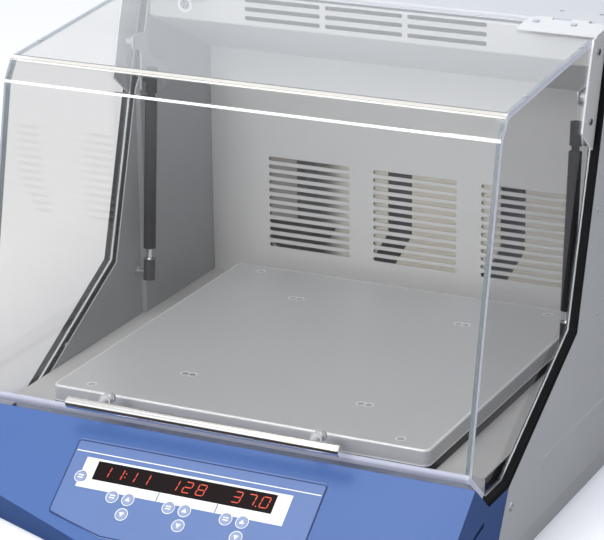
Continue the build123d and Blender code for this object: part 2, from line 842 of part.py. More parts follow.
def duct_baffle():
    """Sheet behind the slots, on two edge flanges, with a window at each group for the air."""
    y0 = back_wall_y + sheet + baffle_gap
    z0, z1 = floor_z + baffle_foot, slot_top_z + baffle_head
    plate = block(-baffle_half, baffle_half, y0, y0 + baffle_sheet, z0, z1)
    behind = Plane.XZ.offset(-y0 - 2 * baffle_sheet)
    for x, outline in ((fan_x, fan_window), (0, air_window), (slot_spacing, air_window)):
        window = make_face(Polyline(*outline, close=True))
        plate -= extrude(behind * Pos(x, slot_top_z) * window, 4 * baffle_sheet)
    for x in (-baffle_half, baffle_half - baffle_flange):
        plate += block(x, x + baffle_flange, back_wall_y + sheet, y0, z0, z1)
    return plate


def fan_motor():
    """Flat fan motor on the back panel, its shaft towards the chamber."""
    rear = back - sheet
    face = back_wall_y + sheet + fan_depth + 1.5 * fan_gap
    motor = rod_y(fan_motor_radius, fan_x, face, rear, fan_z)
    shaft = rod_y(fan_shaft_radius, fan_x, face - fan_depth - fan_gap / 2, face, fan_z)
    return motor + shaft


def fan_wheel():
    """Axial wheel: hub and blades."""
    y0 = back_wall_y + sheet + fan_gap
    y1 = y0 + fan_depth
    wheel = rod_y(fan_hub_radius, fan_x, y0, y1, fan_z)
    root = 0.75 * fan_hub_radius
    blade = Rot(0, 0, fan_blade_pitch) * Box(fan_blade_chord, fan_blade_thickness, fan_radius - root)
    for i in range(fan_blades):
        turn = Rot(0, i * 360 / fan_blades, 0) * Pos(0, 0, (fan_radius + root) / 2)
        wheel += Pos(fan_x, (y0 + y1) / 2, fan_z) * turn * blade
    return wheel - rod_y(fan_shaft_radius + running_fit, fan_x, y0 - 1, y1 + 1, fan_z)


def heater():
    """Tubular heating element: an open ring round the fan, with straight ends to the back panel."""
    y = back_wall_y + sheet + fan_gap + fan_depth / 2
    plane = Plane(origin=(fan_x, y, fan_z), x_dir=(1, 0, 0), z_dir=(0, -1, 0))
    path = plane * CenterArc((0, 0), heater_radius, -90 + heater_opening, 360 - 2 * heater_opening)
    section = Plane(origin=path @ 0, z_dir=path % 0) * Circle(heater_tube)
    element = sweep(section, path)
    for end in (0, 1):
        point = path @ end
        element += rod_y(heater_tube, point.X, point.Y, back - sheet, point.Z)
    return element


# ---------------------------------------------------------------- platform and orbital drive
def platform():
    """Shallow tray turned upside down, with rounded upright corners."""
    y0, y1 = platform_front, platform_front + platform_depth
    centre = Pos(0, (y0 + y1) / 2)
    outer = centre * RectangleRounded(2 * platform_half, platform_depth, platform_corner)
    width, length = 2 * (platform_half - platform_sheet), platform_depth - 2 * platform_sheet
    inner = centre * RectangleRounded(width, length, platform_corner - platform_sheet)
    tray = extrude(Plane.XY.offset(platform_top - platform_rim) * outer, platform_rim)
    rim = tray.edges().group_by(Axis.Z)[-1]
    tray = fillet(rim, platform_bend)
    hollow = platform_rim - platform_sheet
    tray -= extrude(Plane.XY.offset(platform_top - platform_rim - 1) * inner, hollow + 1)
    for x, y in platform_screw_places():
        tray -= rod_z(screw_radius, x, y, platform_top - 5, platform_top + 5)
        tray -= screw_head(x, y, 0)
    return tray


def platform_screw_places():
    """Corner screws and the four inner pairs."""
    places = []
    for sx in (-1, 1):
        for sy in (-1, 1):
            corner_y = platform_centre_y + sy * (platform_depth / 2 - screw_end_inset)
            inner_y = platform_centre_y + sy * inner_screw_y
            places.append((sx * (platform_half - screw_side_inset), corner_y))
            places.append((sx * inner_screw_x, inner_y))
            places.append((sx * inner_screw_x + inner_screw_pair, inner_y))
    return places


def screw_head(x, y, sink):
    """Countersunk head of a platform screw, its face a little below the tray's."""
    height = screw_head_height - sink
    face_radius = screw_radius + (screw_head_radius - screw_radius) * height / screw_head_height
    place = Pos(x, y, platform_top - screw_head_height + height / 2)
    return place * Cone(screw_radius, face_radius, height)


def platform_screws():
    """Countersunk screws, whose faces leave the tray flat."""
    solids = []
    for x, y in platform_screw_places():
        shank = rod_z(screw_radius, x, y, platform_top - platform_sheet, platform_top - screw_head_height)
        solids.append(shank + screw_head(x, y, screw_sink))
    return solids


def carriage():
    """Black plate under the tray, with a bearing boss over each crank pin and posts to the tray."""
    bottom = floor_z + carriage_gap
    inset = platform_sheet + carriage_inset
    y0, y1 = platform_front + inset, platform_front + platform_depth - inset
    plate = block(-platform_half + inset, platform_half - inset, y0, y1, bottom, bottom + carriage_thickness)
    for x in (-1, 1):
        for y in (-1, 1):
            place = Pos(x * carriage_window_x, drive_y + orbit_radius + y * carriage_window_y, bottom)
            plate -= place * Box(*carriage_window, 3 * carriage_thickness)
    underside = platform_top - platform_sheet
    for x, y in crank_places.values():
        plate += rod_z(boss_radius, x, y - orbit_radius, bottom, underside)
    for x, y in platform_screw_places()[::3]:
        plate += rod_z(post_radius, x, y, bottom, underside)
    bore = eccentric_pin_radius + running_fit
    for x, y in crank_places.values():
        plate -= rod_z(bore, x, y - orbit_radius, bottom - 1, floor_z + pin_length + 1)
    return plate


def bearing_blocks():
    """A flanged bearing housing under the floor for each crank."""
    solids = []
    top = floor_z - sheet
    for x, y in crank_places.values():
        body = rod_z(bearing_radius, x, y, top - bearing_height, top)
        body += rod_z(bearing_radius + bearing_flange, x, y, top - bearing_flange_thickness, top)
        body -= rod_z(crank_disc_radius + panel_gap, x, y, top - crank_disc_depth - panel_gap, top + 1)
        body -= rod_z(crank_shaft_radius + running_fit, x, y, top - bearing_height - 1, top + 1)
        solids.append(body)
    return solids


def crank(x, y, shaft_bottom):
    """Crank: shaft, disc and the pin that drives the carriage, off its axis by the orbit's radius."""
    disc_top = floor_z
    disc_bottom = floor_z - sheet - crank_disc_depth
    solid = rod_z(crank_disc_radius, x, y, disc_bottom, disc_top)
    solid += rod_z(crank_shaft_radius, x, y, shaft_bottom, disc_bottom)
    solid += rod_z(eccentric_pin_radius, x, y - orbit_radius, disc_top, disc_top + pin_length)
    return solid


bearing_bottom = floor_z - sheet - bearing_height
counterweight_top = bearing_bottom - 1.5
pulley_top = counterweight_top - counterweight_thickness - 1.0
pulley_bottom = pulley_top - pulley_width


def counterweight():
    """Half disc on the drive shaft, opposite the pin."""
    x, y = crank_places["drive_crank"]
    z0, z1 = counterweight_top - counterweight_thickness, counterweight_top
    radius = counterweight_radius
    weight = rod_z(radius, x, y, z0, z1)
    weight -= block(x - radius, x + radius, y - radius, y - crank_shaft_radius * 1.5, z0 - 1, z1 + 1)
    weight += rod_z(counterweight_hub, x, y, z0, z1)
    return weight - rod_z(crank_shaft_radius, x, y, z0 - 1, z1 + 1)


def pulley(radius, x, y, bore):
    """Flat belt pulley with two flanges."""
    rim = radius + pulley_flange
    half = [
        (bore, pulley_bottom),
        (rim, pulley_bottom),
        (rim, pulley_bottom + pulley_flange_thickness),
        (radius, pulley_bottom + pulley_flange_thickness),
        (radius, pulley_top - pulley_flange_thickness),
        (rim, pulley_top - pulley_flange_thickness),
        (rim, pulley_top),
        (bore, pulley_top),
    ]
    wheel = revolve(Plane.XZ * make_face(Polyline(*half, close=True)), Axis.Z)
    return Pos(x, y, 0) * wheel


def drive_pulley():
    x, y = crank_places["drive_crank"]
    wheel = pulley(drive_pulley_radius, x, y, crank_shaft_radius)
    for angle in range(0, 360, 60):
        hole = Rot(0, 0, angle) * Pos(drive_pulley_hole_circle, 0, (pulley_bottom + pulley_top) / 2)
        wheel -= Pos(x, y, 0) * hole * Cylinder(drive_pulley_hole, 2 * pulley_width)
    return wheel


def drive_motor():
    """Motor above its pulley, hung from the floor by its flange, shaft down."""
    top = floor_z - sheet
    bottom = pulley_top + motor_gap
    motor = rod_z(motor_radius, motor_x, drive_y, bottom, bottom + motor_height)
    motor += rod_z(motor_radius + motor_band, motor_x, drive_y, bottom + motor_band, bottom + 2 * motor_band)
    for x in (-1, 1):
        for y in (-1, 1):
            place = (motor_x + x * motor_post_spread, drive_y + y * motor_post_spread)
            motor += rod_z(motor_shaft_radius, *place, bottom + 1.5 * motor_band, top)
    motor += rod_z(motor_shaft_radius, motor_x, drive_y, pulley_bottom - 1, bottom)
    return motor


def drive_belt():
    """Flat belt round both pulleys."""
    loops = []
    for extra in (belt_gap, belt_gap + belt_thickness):
        big = Pos(0, drive_y) * Circle(drive_pulley_radius + extra)
        small = Pos(motor_x, drive_y) * Circle(motor_pulley_radius + extra)
        loops.append(make_hull((big + small).edges()))
    edge = pulley_flange_thickness + belt_edge_gap
    ring = loops[1] - loops[0]
    return extrude(Plane.XY.offset(pulley_bottom + edge) * ring, pulley_width - 2 * edge)


def power_supply():
    """Mains transformer on the pan, with its winding between the two limbs of the core."""
    width, depth, height = supply_size
    x0, x1 = supply_x - width / 2, supply_x + width / 2
    y0, y1 = back - supply_back_inset - depth, back - supply_back_inset
    z0 = foot_height + pan_sheet
    z1 = z0 + height
    core = block(x0, x1, y0, y1, z0, z1)
    for y in (y0 + supply_limb, y1 - supply_limb - supply_window):
        core -= block(x0 - 1, x1 + 1, y, y + supply_window, z0 + supply_limb, z1 - supply_limb)
    inset = winding_inset
    low, high = z0 + supply_limb + panel_gap, z1 - supply_limb - panel_gap
    return core + block(x0 + inset, x1 - inset, y0 + inset, y1 - inset, low, high)


def connector_body(x, half, depth, flange, wall):
    """Body through the back panel with a flange outside it, hollowed from behind."""
    width, height = half
    body = block(x - width, x + width, back - depth, back, connector_z - height, connector_z + height)
    flange_width, flange_height = width + flange, height + connector_flange
    z0, z1 = connector_z - flange_height, connector_z + flange_height
    body += block(x - flange_width, x + flange_width, back, back + connector_flange, z0, z1)
    inner_width, inner_height = width - wall, height - wall
    z0, z1 = connector_z - inner_height, connector_z + inner_height
    floor_y = back - depth * 2 / 3
    return body - block(x - inner_width, x + inner_width, floor_y, back + 2 * connector_flange, z0, z1)


def mains_inlet():
    """Appliance inlet with its flange, recess and three pins."""
    body = connector_body(inlet_x, inlet_half, inlet_depth, inlet_flange, inlet_wall)
    half_x, half_z = inlet_pin_half
    for x, z in inlet_pins:
        pin = Pos(inlet_x + x, back - inlet_depth / 2, connector_z + z)
        body += pin * Box(2 * half_x, inlet_depth * 3 / 4, 2 * half_z)
    return body


def power_switch():
    """Frame of the mains switch, with the cross pin of its rocker."""
    body = connector_body(switch_x, switch_half, switch_depth, switch_wall, switch_wall)
    reach = switch_half[0] - switch_wall / 2
    pin_y = back - switch_pin_depth
    return body + rod_x(switch_pin_radius, switch_x - reach, switch_x + reach, pin_y, connector_z)


def power_rocker():
    """Rocker on its cross pin, dished over its face, tipped to one of its two places."""
    outline = [
        (-4.0, 0),
        (-2.0, -rocker_tip_up + 0.6),
        (rocker_tip_out - 1.8, -rocker_tip_up - 1.0),
        (rocker_tip_out, -rocker_tip_up),
        (rocker_tip_out - 3.0, 0),
        (rocker_tip_out, rocker_tip_up),
        (rocker_tip_out - 1.8, rocker_tip_up + 1.0),
        (-2.0, rocker_tip_up - 0.6),
    ]
    half = rocker_half_width
    bore = rod_x(switch_pin_radius + running_fit, -2 * half, 2 * half, 0, 0)
    rocker = side_prism(outline, -half, half) - bore
    return Pos(switch_x, back - switch_pin_depth, connector_z) * Rot(-rocker_half_throw, 0, 0) * rocker


# ---------------------------------------------------------------- hood
def hood_wrap():
    """Top, chamfer, front and lower lip of the hood in one bent clear sheet, drilled for the handle."""
    wrap = folded_sheet(hood_line, hood_sheet, -hood_half, hood_half, bend=hood_bend_radius)
    for x in handle_posts():
        wrap -= rod_y(handle_post_radius + running_fit, x, front, 0, handle_z)
    return wrap


def hood_side():
    """Right side panel of the hood, under the wrap and in front of the seal."""
    rest = parallel(seal_face, hood_rest_gap)
    inner = hood_inside
    top_y = rest[3][0]
    outline = [
        (top_y, hood_underside(top_y)),
        *inner[1:4],
        (inner[4][0] + (inner[4][1] - rest[1][1]) / math.tan(math.radians(crest_rear_slope)), rest[1][1]),
        *rest[1:4],
    ]
    face = make_face(Polyline(*outline, close=True))
    for corner in inner[1:4]:
        face = fillet(face.vertices().sort_by_distance(Vector(*corner))[0], hood_bend_radius)
    return extrude(Plane.YZ.offset(hood_half - hood_sheet) * face, hood_sheet)


def handle_posts():
    """X of the handle's two posts."""
    return [handle_centre_x + side * handle_post_spacing / 2 for side in (-1, 1)]


def handle_bar():
    """Round chrome bar on two posts, with a dome nut inside the hood on each."""
    lean = (hood_lower_bend[0] - hood_front_foot[0]) / (hood_lower_bend[1] - hood_front_foot[1])
    face_y = hood_front_foot[0] + (handle_z - hood_front_foot[1]) * lean
    inside_y = face_y + hood_sheet * math.hypot(1, lean)
    x0 = handle_centre_x - handle_length / 2
    bar = rod_x(handle_radius, x0, x0 + handle_length, handle_y, handle_z)
    ends = bar.edges().filter_by(GeomType.CIRCLE)
    bar = chamfer(ends, 0.13 * handle_radius)
    collar = handle_post_radius + handle_collar
    rise = lean * collar + running_fit
    for x in handle_posts():
        bar += rod_y(handle_post_radius, x, handle_y, inside_y + rise + nut_height, handle_z)
        bar += rod_y(collar, x, face_y - rise - collar_height, face_y - rise, handle_z)
        bar += rod_y(collar, x, inside_y + rise, inside_y + rise + nut_height, handle_z)
    return bar


def hinge_bracket():
    """Right hinge bracket: plate on the hood's top, rolled knuckles, flange down the hood's side."""
    plate_line = [(pivot_y, hood_top(pivot_y)), (bracket_front_y, hood_top(bracket_front_y))]
    outer_x = hood_half + bracket_sheet
    plate = folded_sheet(plate_line, -bracket_sheet, bracket_inner_x, outer_x)
    z0, z1 = pivot_z - bracket_reach, pivot_z + bracket_reach
    relief = block(0, outer_x + 1, hood_top_rear_y + 1, back, z0, z1)
    for x in knuckle_places()[::2]:
        plate += rod_x(knuckle_radius, x, x + knuckle_length, pivot_y, pivot_z)
        relief -= block(x, x + knuckle_length, 0, back, 0, overall_height + bracket_reach)
    plate -= relief
    plate -= rod_x(pin_radius + running_fit, 0, half_width, pivot_y, pivot_z)
    rest = parallel(seal_face, hood_rest_gap)
    top_y, top_z = rest[3]
    foot_z = pivot_z - flange_drop
    fold_y = bracket_front_y - flange_step
    foot_y = rest[2][0] + (foot_z - rest[2][1]) * upper_lean
    flange = side_prism([
        (top_y, top_z),
        (top_y, hood_top(top_y) + bracket_sheet / 5),
        (fold_y, hood_top(fold_y) + bracket_sheet / 5),
        *((pivot_y + y, pivot_z + z) for y, z in flange_corners),
        (foot_y, foot_z),
    ], hood_half, outer_x)
    return plate + flange


def knuckle_places():
    """Where each knuckle of the right hinge starts along the pin: bracket, housing, bracket."""
    step = knuckle_length + seat_gap
    first = bracket_inner_x + knuckle_inset
    return [first, first + step, first + 2 * step]


def hinge_leaf():
    """Right fixed half of the hinge: the leaf on the housing's lip, its knuckle and the pin."""
    first, middle, last = knuckle_places()
    leaf = rod_x(knuckle_radius, middle, middle + knuckle_length, pivot_y, pivot_z)
    foot_z = duct_ledge_z + panel_gap
    leaf += block(middle, middle + knuckle_length, pivot_y + 1, housing_lip_y, foot_z, pivot_z - 1)
    return leaf + rod_x(pin_radius, first - pin_radius, last + knuckle_length + pin_radius, pivot_y, pivot_z)


def near_upper_ball(offsets):
    """Points at offsets (back, up) from the upper ball."""
    return [(upper_ball[0] + y, upper_ball[1] + z) for y, z in offsets]


def spring_plate():
    """Right inner plate that carries the gas spring, stood off the hood's side on two spacers."""
    face = make_face(Polyline(*near_upper_ball(plate_corners), close=True))
    face = fillet(face.vertices(), plate_corner_radius)
    plate = extrude(Plane.YZ.offset(spring_plate_x) * face, spring_plate_sheet)
    for y, z in near_upper_ball(plate_spacers):
        plate += rod_x(spacer_radius, spring_plate_x + spring_plate_sheet, hood_half - hood_sheet, y, z)
    boss_place = near_upper_ball([plate_boss])[0]
    return plate + rod_x(plate_boss_radius, spring_plate_x - 1, spring_plate_x, *boss_place)


def hood_screws():
    """Low screw heads on the hinge brackets and along the hood's top edges."""
    solids = []
    outer = hood_half + bracket_sheet
    for side in (-1, 1):
        for y, z in side_screws:
            head = rod_x(hood_screw_radius, outer, outer + hood_screw_height, pivot_y + y, pivot_z + z)
            solids.append(head if side > 0 else mirrored(head))
        for inset in bracket_screws:
            place = on_hood_top(side * (bracket_inner_x + inset), pivot_y - bracket_screw_lead)
            height = bracket_sheet + hood_screw_height
            solids.append(place * rod_z(hood_screw_radius, 0, 0, bracket_sheet, height))
        for y in (pivot_y - edge_screw_lead, hood_upper_bend[0] + edge_screw_back):
            place = on_hood_top(side * (hood_half - hood_sheet / 2), y)
            solids.append(place * rod_z(edge_screw_radius, 0, 0, 0, edge_screw_height))
    return solids


# ---------------------------------------------------------------- gas springs
spring_run = (upper_ball[0] - lower_ball[0], upper_ball[1] - lower_ball[1])
spring_length = math.hypot(*spring_run)
spring_axis = Plane(
    origin=(spring_x, *lower_ball),
    x_dir=(1, 0, 0),
    z_dir=(0, spring_run[0] / spring_length, spring_run[1] / spring_length),
)


def ball_stud(y, z, root_x):
    """Ball on a stepped stud that comes in from the side."""
    length = root_x - spring_x
    neck_start = math.sqrt(ball_radius ** 2 - neck_radius ** 2)
    ball = ThreePointArc((-ball_radius, 0), (0, ball_radius), (neck_start, neck_radius))
    rest = Polyline(
        (neck_start, neck_radius),
        (length - stud_collar, neck_radius),
        (length - stud_collar, stud_root_radius),
        (length, stud_root_radius),
        (length, 0),
        (-ball_radius, 0),
    )
    stud = revolve(make_face(ball + rest), Axis.X)
    return Pos(spring_x, y, z) * stud


def socket():
    """Ball socket at the origin, its stem along +Z and its mouth towards +X."""
    low, high = -socket_below, socket_above
    cavity = ball_radius + running_fit
    outside = Polyline((0, high), (socket_radius, high), (socket_radius, low), (0, low), (0, -cavity))
    inside = ThreePointArc((0, -cavity), (cavity, 0), (0, cavity))
    profile = make_face(outside + inside + Line((0, cavity), (0, high)))
    body = Rot(0, 0, 90) * revolve(Plane.XZ * profile, Axis.Z)
    return body - rod_x(neck_radius + seat_gap + panel_gap, 0, 2 * socket_radius, 0, 0)


def spring_rod():
    """Lower socket and the piston rod of the right spring."""
    rod = socket() + rod_z(rod_radius, 0, 0, socket_above - 0.5, cylinder_start + rod_insertion)
    return spring_axis * rod


def spring_cylinder():
    """Pressure tube with its upper socket, and the upper ball stud that rides with it."""
    top = spring_length - cylinder_end
    tube = rod_z(cylinder_radius, 0, 0, cylinder_start, top)
    tube -= rod_z(cylinder_radius - cylinder_wall, 0, 0, cylinder_start + cylinder_cap, top - cylinder_cap)
    tube -= rod_z(rod_radius + running_fit, 0, 0, cylinder_start - 1, cylinder_start + 2 * cylinder_cap)
    tube += rod_z(1.5 * rod_radius, 0, 0, top, spring_length - socket_below)
    upper = Pos(0, 0, spring_length) * Rot(180, 0, 0) * socket()
    body = spring_axis * (tube + upper)
    stud = ball_stud(*upper_ball, spring_plate_x - seat_gap)
    return [body, stud]


def spring_mounts():
    """Both lower ball studs, on the chamber's side skins."""
    stud = ball_stud(*lower_ball, liner_front_half)
    return [stud, mirrored(stud)]


# ---------------------------------------------------------------- build and write every piece
def both_sides(name, piece):
    """A right-hand piece and its mirror image, under their own names."""
    pieces = piece if isinstance(piece, list) else [piece]
    return {name + "_right": pieces, name + "_left": [mirrored(p) for p in pieces]}


def build():
    nodes = {
        "base_pan": base_pan(),
        "feet": feet(),
        "front_cover": front_cover(),
        "keypad_foil": keypad_foil(),
        "display_window": display_window(),
        "control_board": control_board(),
        "seal_rear": seal_rear(),
        "rear_housing": rear_housing(),
        "chamber_liner": chamber_liner(),
        "duct_wall": duct_wall(),
        "duct_baffle": duct_baffle(),
        "round_vent": round_vent(),
        "fan_motor": fan_motor(),
        "fan_wheel": fan_wheel(),
        "heater": heater(),
        "platform": platform(),
        "platform_screws": platform_screws(),
        "carriage": carriage(),
        "bearing_blocks": bearing_blocks(),
        "counterweight": counterweight(),
        "drive_pulley": drive_pulley(),
        "drive_motor": drive_motor(),
        "motor_pulley": pulley(motor_pulley_radius, motor_x, drive_y, 5.0 + running_fit),
        "drive_belt": drive_belt(),
        "power_supply": power_supply(),
        "mains_inlet": mains_inlet(),
        "power_switch": power_switch(),
        "power_rocker": power_rocker(),
        "hood_wrap": hood_wrap(),
        "handle_bar": handle_bar(),
        "hinge_leaves": [hinge_leaf(), mirrored(hinge_leaf())],
        "spring_plates": [spring_plate(), mirrored(spring_plate())],
        "spring_mounts": spring_mounts(),
        "hood_screws": hood_screws(),
    }
    for name, (x, y) in crank_places.items():
        shaft_bottom = pulley_bottom - 3 if name == "drive_crank" else bearing_bottom - 4
        nodes[name] = crank(x, y, shaft_bottom)
    for i, (x, down) in enumerate(key_places(), start=1):
        nodes[f"key_{i:02d}"] = key(x, down)
    nodes.update(both_sides("side_wall", side_wall()))
    nodes.update(both_sides("seal", seal()))
    nodes.update(both_sides("hood_side", hood_side()))
    nodes.update(both_sides("hinge_bracket", hinge_bracket()))
    nodes.update(both_sides("spring_rod", spring_rod()))
    nodes.update(both_sides("spring_cylinder", spring_cylinder()))
    return nodes


os.makedirs("parts", exist_ok=True)
for name, solids in build().items():
    pieces = solids if isinstance(solids, list) else [solids]
    shape = Compound([solid for piece in pieces for solid in piece.solids()])
    export_step(shape, f"parts/{name}.step")
    print(name, round(shape.volume))
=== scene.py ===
import math

import bpy
import numpy as np
from bpy.props import FloatProperty, FloatVectorProperty, PointerProperty
from mathutils import Matrix, Vector


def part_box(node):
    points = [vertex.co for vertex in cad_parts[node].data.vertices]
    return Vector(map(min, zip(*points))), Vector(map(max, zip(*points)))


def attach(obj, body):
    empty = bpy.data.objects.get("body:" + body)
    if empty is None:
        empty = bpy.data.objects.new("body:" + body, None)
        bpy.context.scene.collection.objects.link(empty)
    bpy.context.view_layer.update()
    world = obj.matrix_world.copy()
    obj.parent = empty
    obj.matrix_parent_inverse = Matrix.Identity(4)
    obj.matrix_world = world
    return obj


bl_info = {
    "name": "Incubated benchtop shaker",
    "version": (1, 0, 0),
    "blender": (4, 5, 0),
    "location": "3D View > Sidebar > Shaker",
    "description": "Finishes, prints and stage for an incubated benchtop shaker",
    "category": "Object",
}

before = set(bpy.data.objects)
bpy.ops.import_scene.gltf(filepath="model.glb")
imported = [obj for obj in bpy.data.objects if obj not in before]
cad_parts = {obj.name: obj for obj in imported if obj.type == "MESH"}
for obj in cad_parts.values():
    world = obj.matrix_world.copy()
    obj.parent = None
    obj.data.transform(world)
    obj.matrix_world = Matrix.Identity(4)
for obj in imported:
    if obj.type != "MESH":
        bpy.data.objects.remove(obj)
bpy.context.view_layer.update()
MM = 0.001
SOCKET_TOP = 195.9 * MM           # top of the gas springs' lower sockets when the hood is closed
HANDLE_RADIUS = 6.0 * MM
NUT_STEP = 0.4 * MM               # the nuts begin this far outside the handle's tube


# ---------------------------------------------------------------- colour and node helpers
def linear(code):
    """sRGB hex colour as linear RGBA: (c / 12.92) in the dark part, ((c + 0.055) / 1.055) ** 2.4 above it."""
    values = np.array([int(code[i:i + 2], 16) / 255 for i in (1, 3, 5)])
    bright = ((values + 0.055) / 1.055) ** 2.4
    return (*np.where(values <= 0.04045, values / 12.92, bright).tolist(), 1.0)


def add(tree, kind, inputs=None, **settings):
    """Adds a node, sets its properties and fills its inputs: a socket is linked, anything else is a value."""
    node = tree.nodes.new(kind)
    for name, value in settings.items():
        setattr(node, name, value)
    for socket, value in (inputs or {}).items():
        if isinstance(value, bpy.types.NodeSocket):
            tree.links.new(value, node.inputs[socket])
        else:
            node.inputs[socket].default_value = value
    return node


def new_material(name):
    """An empty node material, its tree, and the place of a point in the piece's own axes."""
    material = bpy.data.materials.new(name)
    material.use_nodes = True
    tree = material.node_tree
    tree.nodes.clear()
    return material, tree, add(tree, "ShaderNodeTexCoord").outputs["Object"]


def surfaced(material, shader):
    """The material, with a shader as its surface."""
    add(material.node_tree, "ShaderNodeOutputMaterial", {"Surface": shader})
    return material


def principled(tree, inputs):
    return add(tree, "ShaderNodeBsdfPrincipled", inputs).outputs["BSDF"]


def maths(tree, operation, *values):
    """A Math node over sockets and plain numbers."""
    return add(tree, "ShaderNodeMath", dict(enumerate(values)), operation=operation).outputs["Value"]


def within(tree, value, low, high):
    """1 where a value lies between two numbers."""
    return maths(tree, "COMPARE", value, (low + high) / 2, (high - low) / 2)


def ranged(tree, value, low, high, start=0.0, end=1.0, smooth=False):
    """A value that runs from start to end, mapped to low to high and held there beyond both ends."""
    inputs = {"Value": value, "From Min": start, "From Max": end, "To Min": low, "To Max": high}
    interpolation = "SMOOTHSTEP" if smooth else "LINEAR"
    return add(tree, "ShaderNodeMapRange", inputs, interpolation_type=interpolation).outputs["Result"]


def noise(tree, place, size, detail=2.0):
    """Soft noise from 0 to 1, with patches of a size in metres."""
    return add(tree, "ShaderNodeTexNoise", {"Scale": 1 / size, "Detail": detail, "Vector": place}).outputs["Fac"]


def blended(tree, factor, a, b):
    """Colour a where the factor is 0 and colour b where it is 1."""
    return add(tree, "ShaderNodeMix", {"Factor": factor, "A": a, "B": b}, data_type="RGBA").outputs["Result"]


def mixed(tree, factor, first, second):
    """The first shader where the factor is 0 and the second where it is 1."""
    return add(tree, "ShaderNodeMixShader", {0: factor, 1: first, 2: second}).outputs["Shader"]


def coordinates(tree, vector):
    return add(tree, "ShaderNodeSeparateXYZ", {"Vector": vector}).outputs


def surface_direction(tree):
    """True normal in the piece's own axes, so that it stays right when the piece has turned."""
    normal = add(tree, "ShaderNodeNewGeometry").outputs["True Normal"]
    own = add(tree, "ShaderNodeVectorTransform", {"Vector": normal},
              vector_type="NORMAL", convert_from="WORLD", convert_to="OBJECT")
    return coordinates(tree, own.outputs["Vector"])


def distance(tree, place, centre, kept):
    """Distance from a centre along the axes kept as 1, and not along those given as 0."""
    back = [-c * k for c, k in zip(centre, kept)]
    away = add(tree, "ShaderNodeMapping", {"Location": back, "Scale": kept, "Vector": place}).outputs["Vector"]
    return add(tree, "ShaderNodeVectorMath", {"Vector": away}, operation="LENGTH").outputs["Value"]


def mottled(tree, place, colour, size, amount):
    """The colour, lighter and darker in soft patches of a size in metres."""
    darker = tuple(c * (1 - amount) for c in colour[:3]) + (1.0,)
    lighter = tuple(min(1.0, c * (1 + amount)) for c in colour[:3]) + (1.0,)
    return blended(tree, noise(tree, place, size, 3.0), darker, lighter)


def softened_edges(tree, radius, height, strength, depth):
    """Normal with rounded edges of a radius, and a bump of a height field on top."""
    bevel = add(tree, "ShaderNodeBevel", {"Radius": radius}, samples=4).outputs["Normal"]
    bump = {"Strength": strength, "Distance": depth, "Height": height, "Normal": bevel}
    return add(tree, "ShaderNodeBump", bump).outputs["Normal"]


# ---------------------------------------------------------------- materials
FACING = 0.5                      # share of a normal along an axis above which a face looks that way
SPARK_GRAIN = 1.2 * MM            # texture of spark-eroded moulds


def powder_coat(name, colour, roughness, grain=2.2 * MM, ior=1.5, duct_shade_depth=None, under_platform_shade=None, skins=None):
    """Powder-coated steel: baked polyester powder, a fine orange-peel skin that breaks up the gloss. Faces
    that look forwards from behind a given depth along y are painted black: painted shade in an air duct. Faces
    that look up inside a given box (low corner, high corner) are painted black: painted shade under a
    platform. Upright side faces nearer to the middle than a given reach are painted a darker grey: painted
    shade on the side walls of the chamber."""
    material, tree, place = new_material(name)
    coat = mottled(tree, place, colour, 90 * MM, 0.035)
    if duct_shade_depth is not None:
        # Painted shade: forward-looking faces deep in the air duct are painted black, where only shade falls.
        forwards = maths(tree, "LESS_THAN", surface_direction(tree)["Y"], -FACING)
        behind = maths(tree, "GREATER_THAN", coordinates(tree, place)["Y"], duct_shade_depth)
        coat = blended(tree, maths(tree, "MULTIPLY", behind, forwards), coat, linear("#151517"))
    # Painted shade: upright side faces near the middle get a darker grey, standing in for the shade on the chamber's
    # side walls.
    if skins is not None:
        nearer = maths(tree, "LESS_THAN", maths(tree, "ABSOLUTE", coordinates(tree, place)["X"]), skins)
        upright = maths(tree, "GREATER_THAN", maths(tree, "ABSOLUTE", surface_direction(tree)["X"]), FACING)
        darker = mottled(tree, place, linear("#A2A4A8"), 90 * MM, 0.035)
        coat = blended(tree, maths(tree, "MULTIPLY", nearer, upright), coat, darker)
    # Painted shade: up-facing faces inside the box are painted black, as the shade under a platform.
    if under_platform_shade is not None:
        low, high = under_platform_shade
        where = coordinates(tree, place)
        inside = maths(tree, "MULTIPLY", within(tree, where["X"], low[0], high[0]),
                       within(tree, where["Y"], low[1], high[1]))
        upwards = maths(tree, "GREATER_THAN", surface_direction(tree)["Z"], FACING)
        coat = blended(tree, maths(tree, "MULTIPLY", inside, upwards), coat, linear("#0E0E10"))
    smears = noise(tree, place, 60 * MM, 4.0)
    return surfaced(material, principled(tree, {
        "IOR": ior,
        "Base Color": coat,
        "Roughness": ranged(tree, smears, roughness - 0.05, roughness + 0.07),
        "Normal": softened_edges(tree, 0.9 * MM, noise(tree, place, grain), 0.10, 0.25 * MM),
    }))


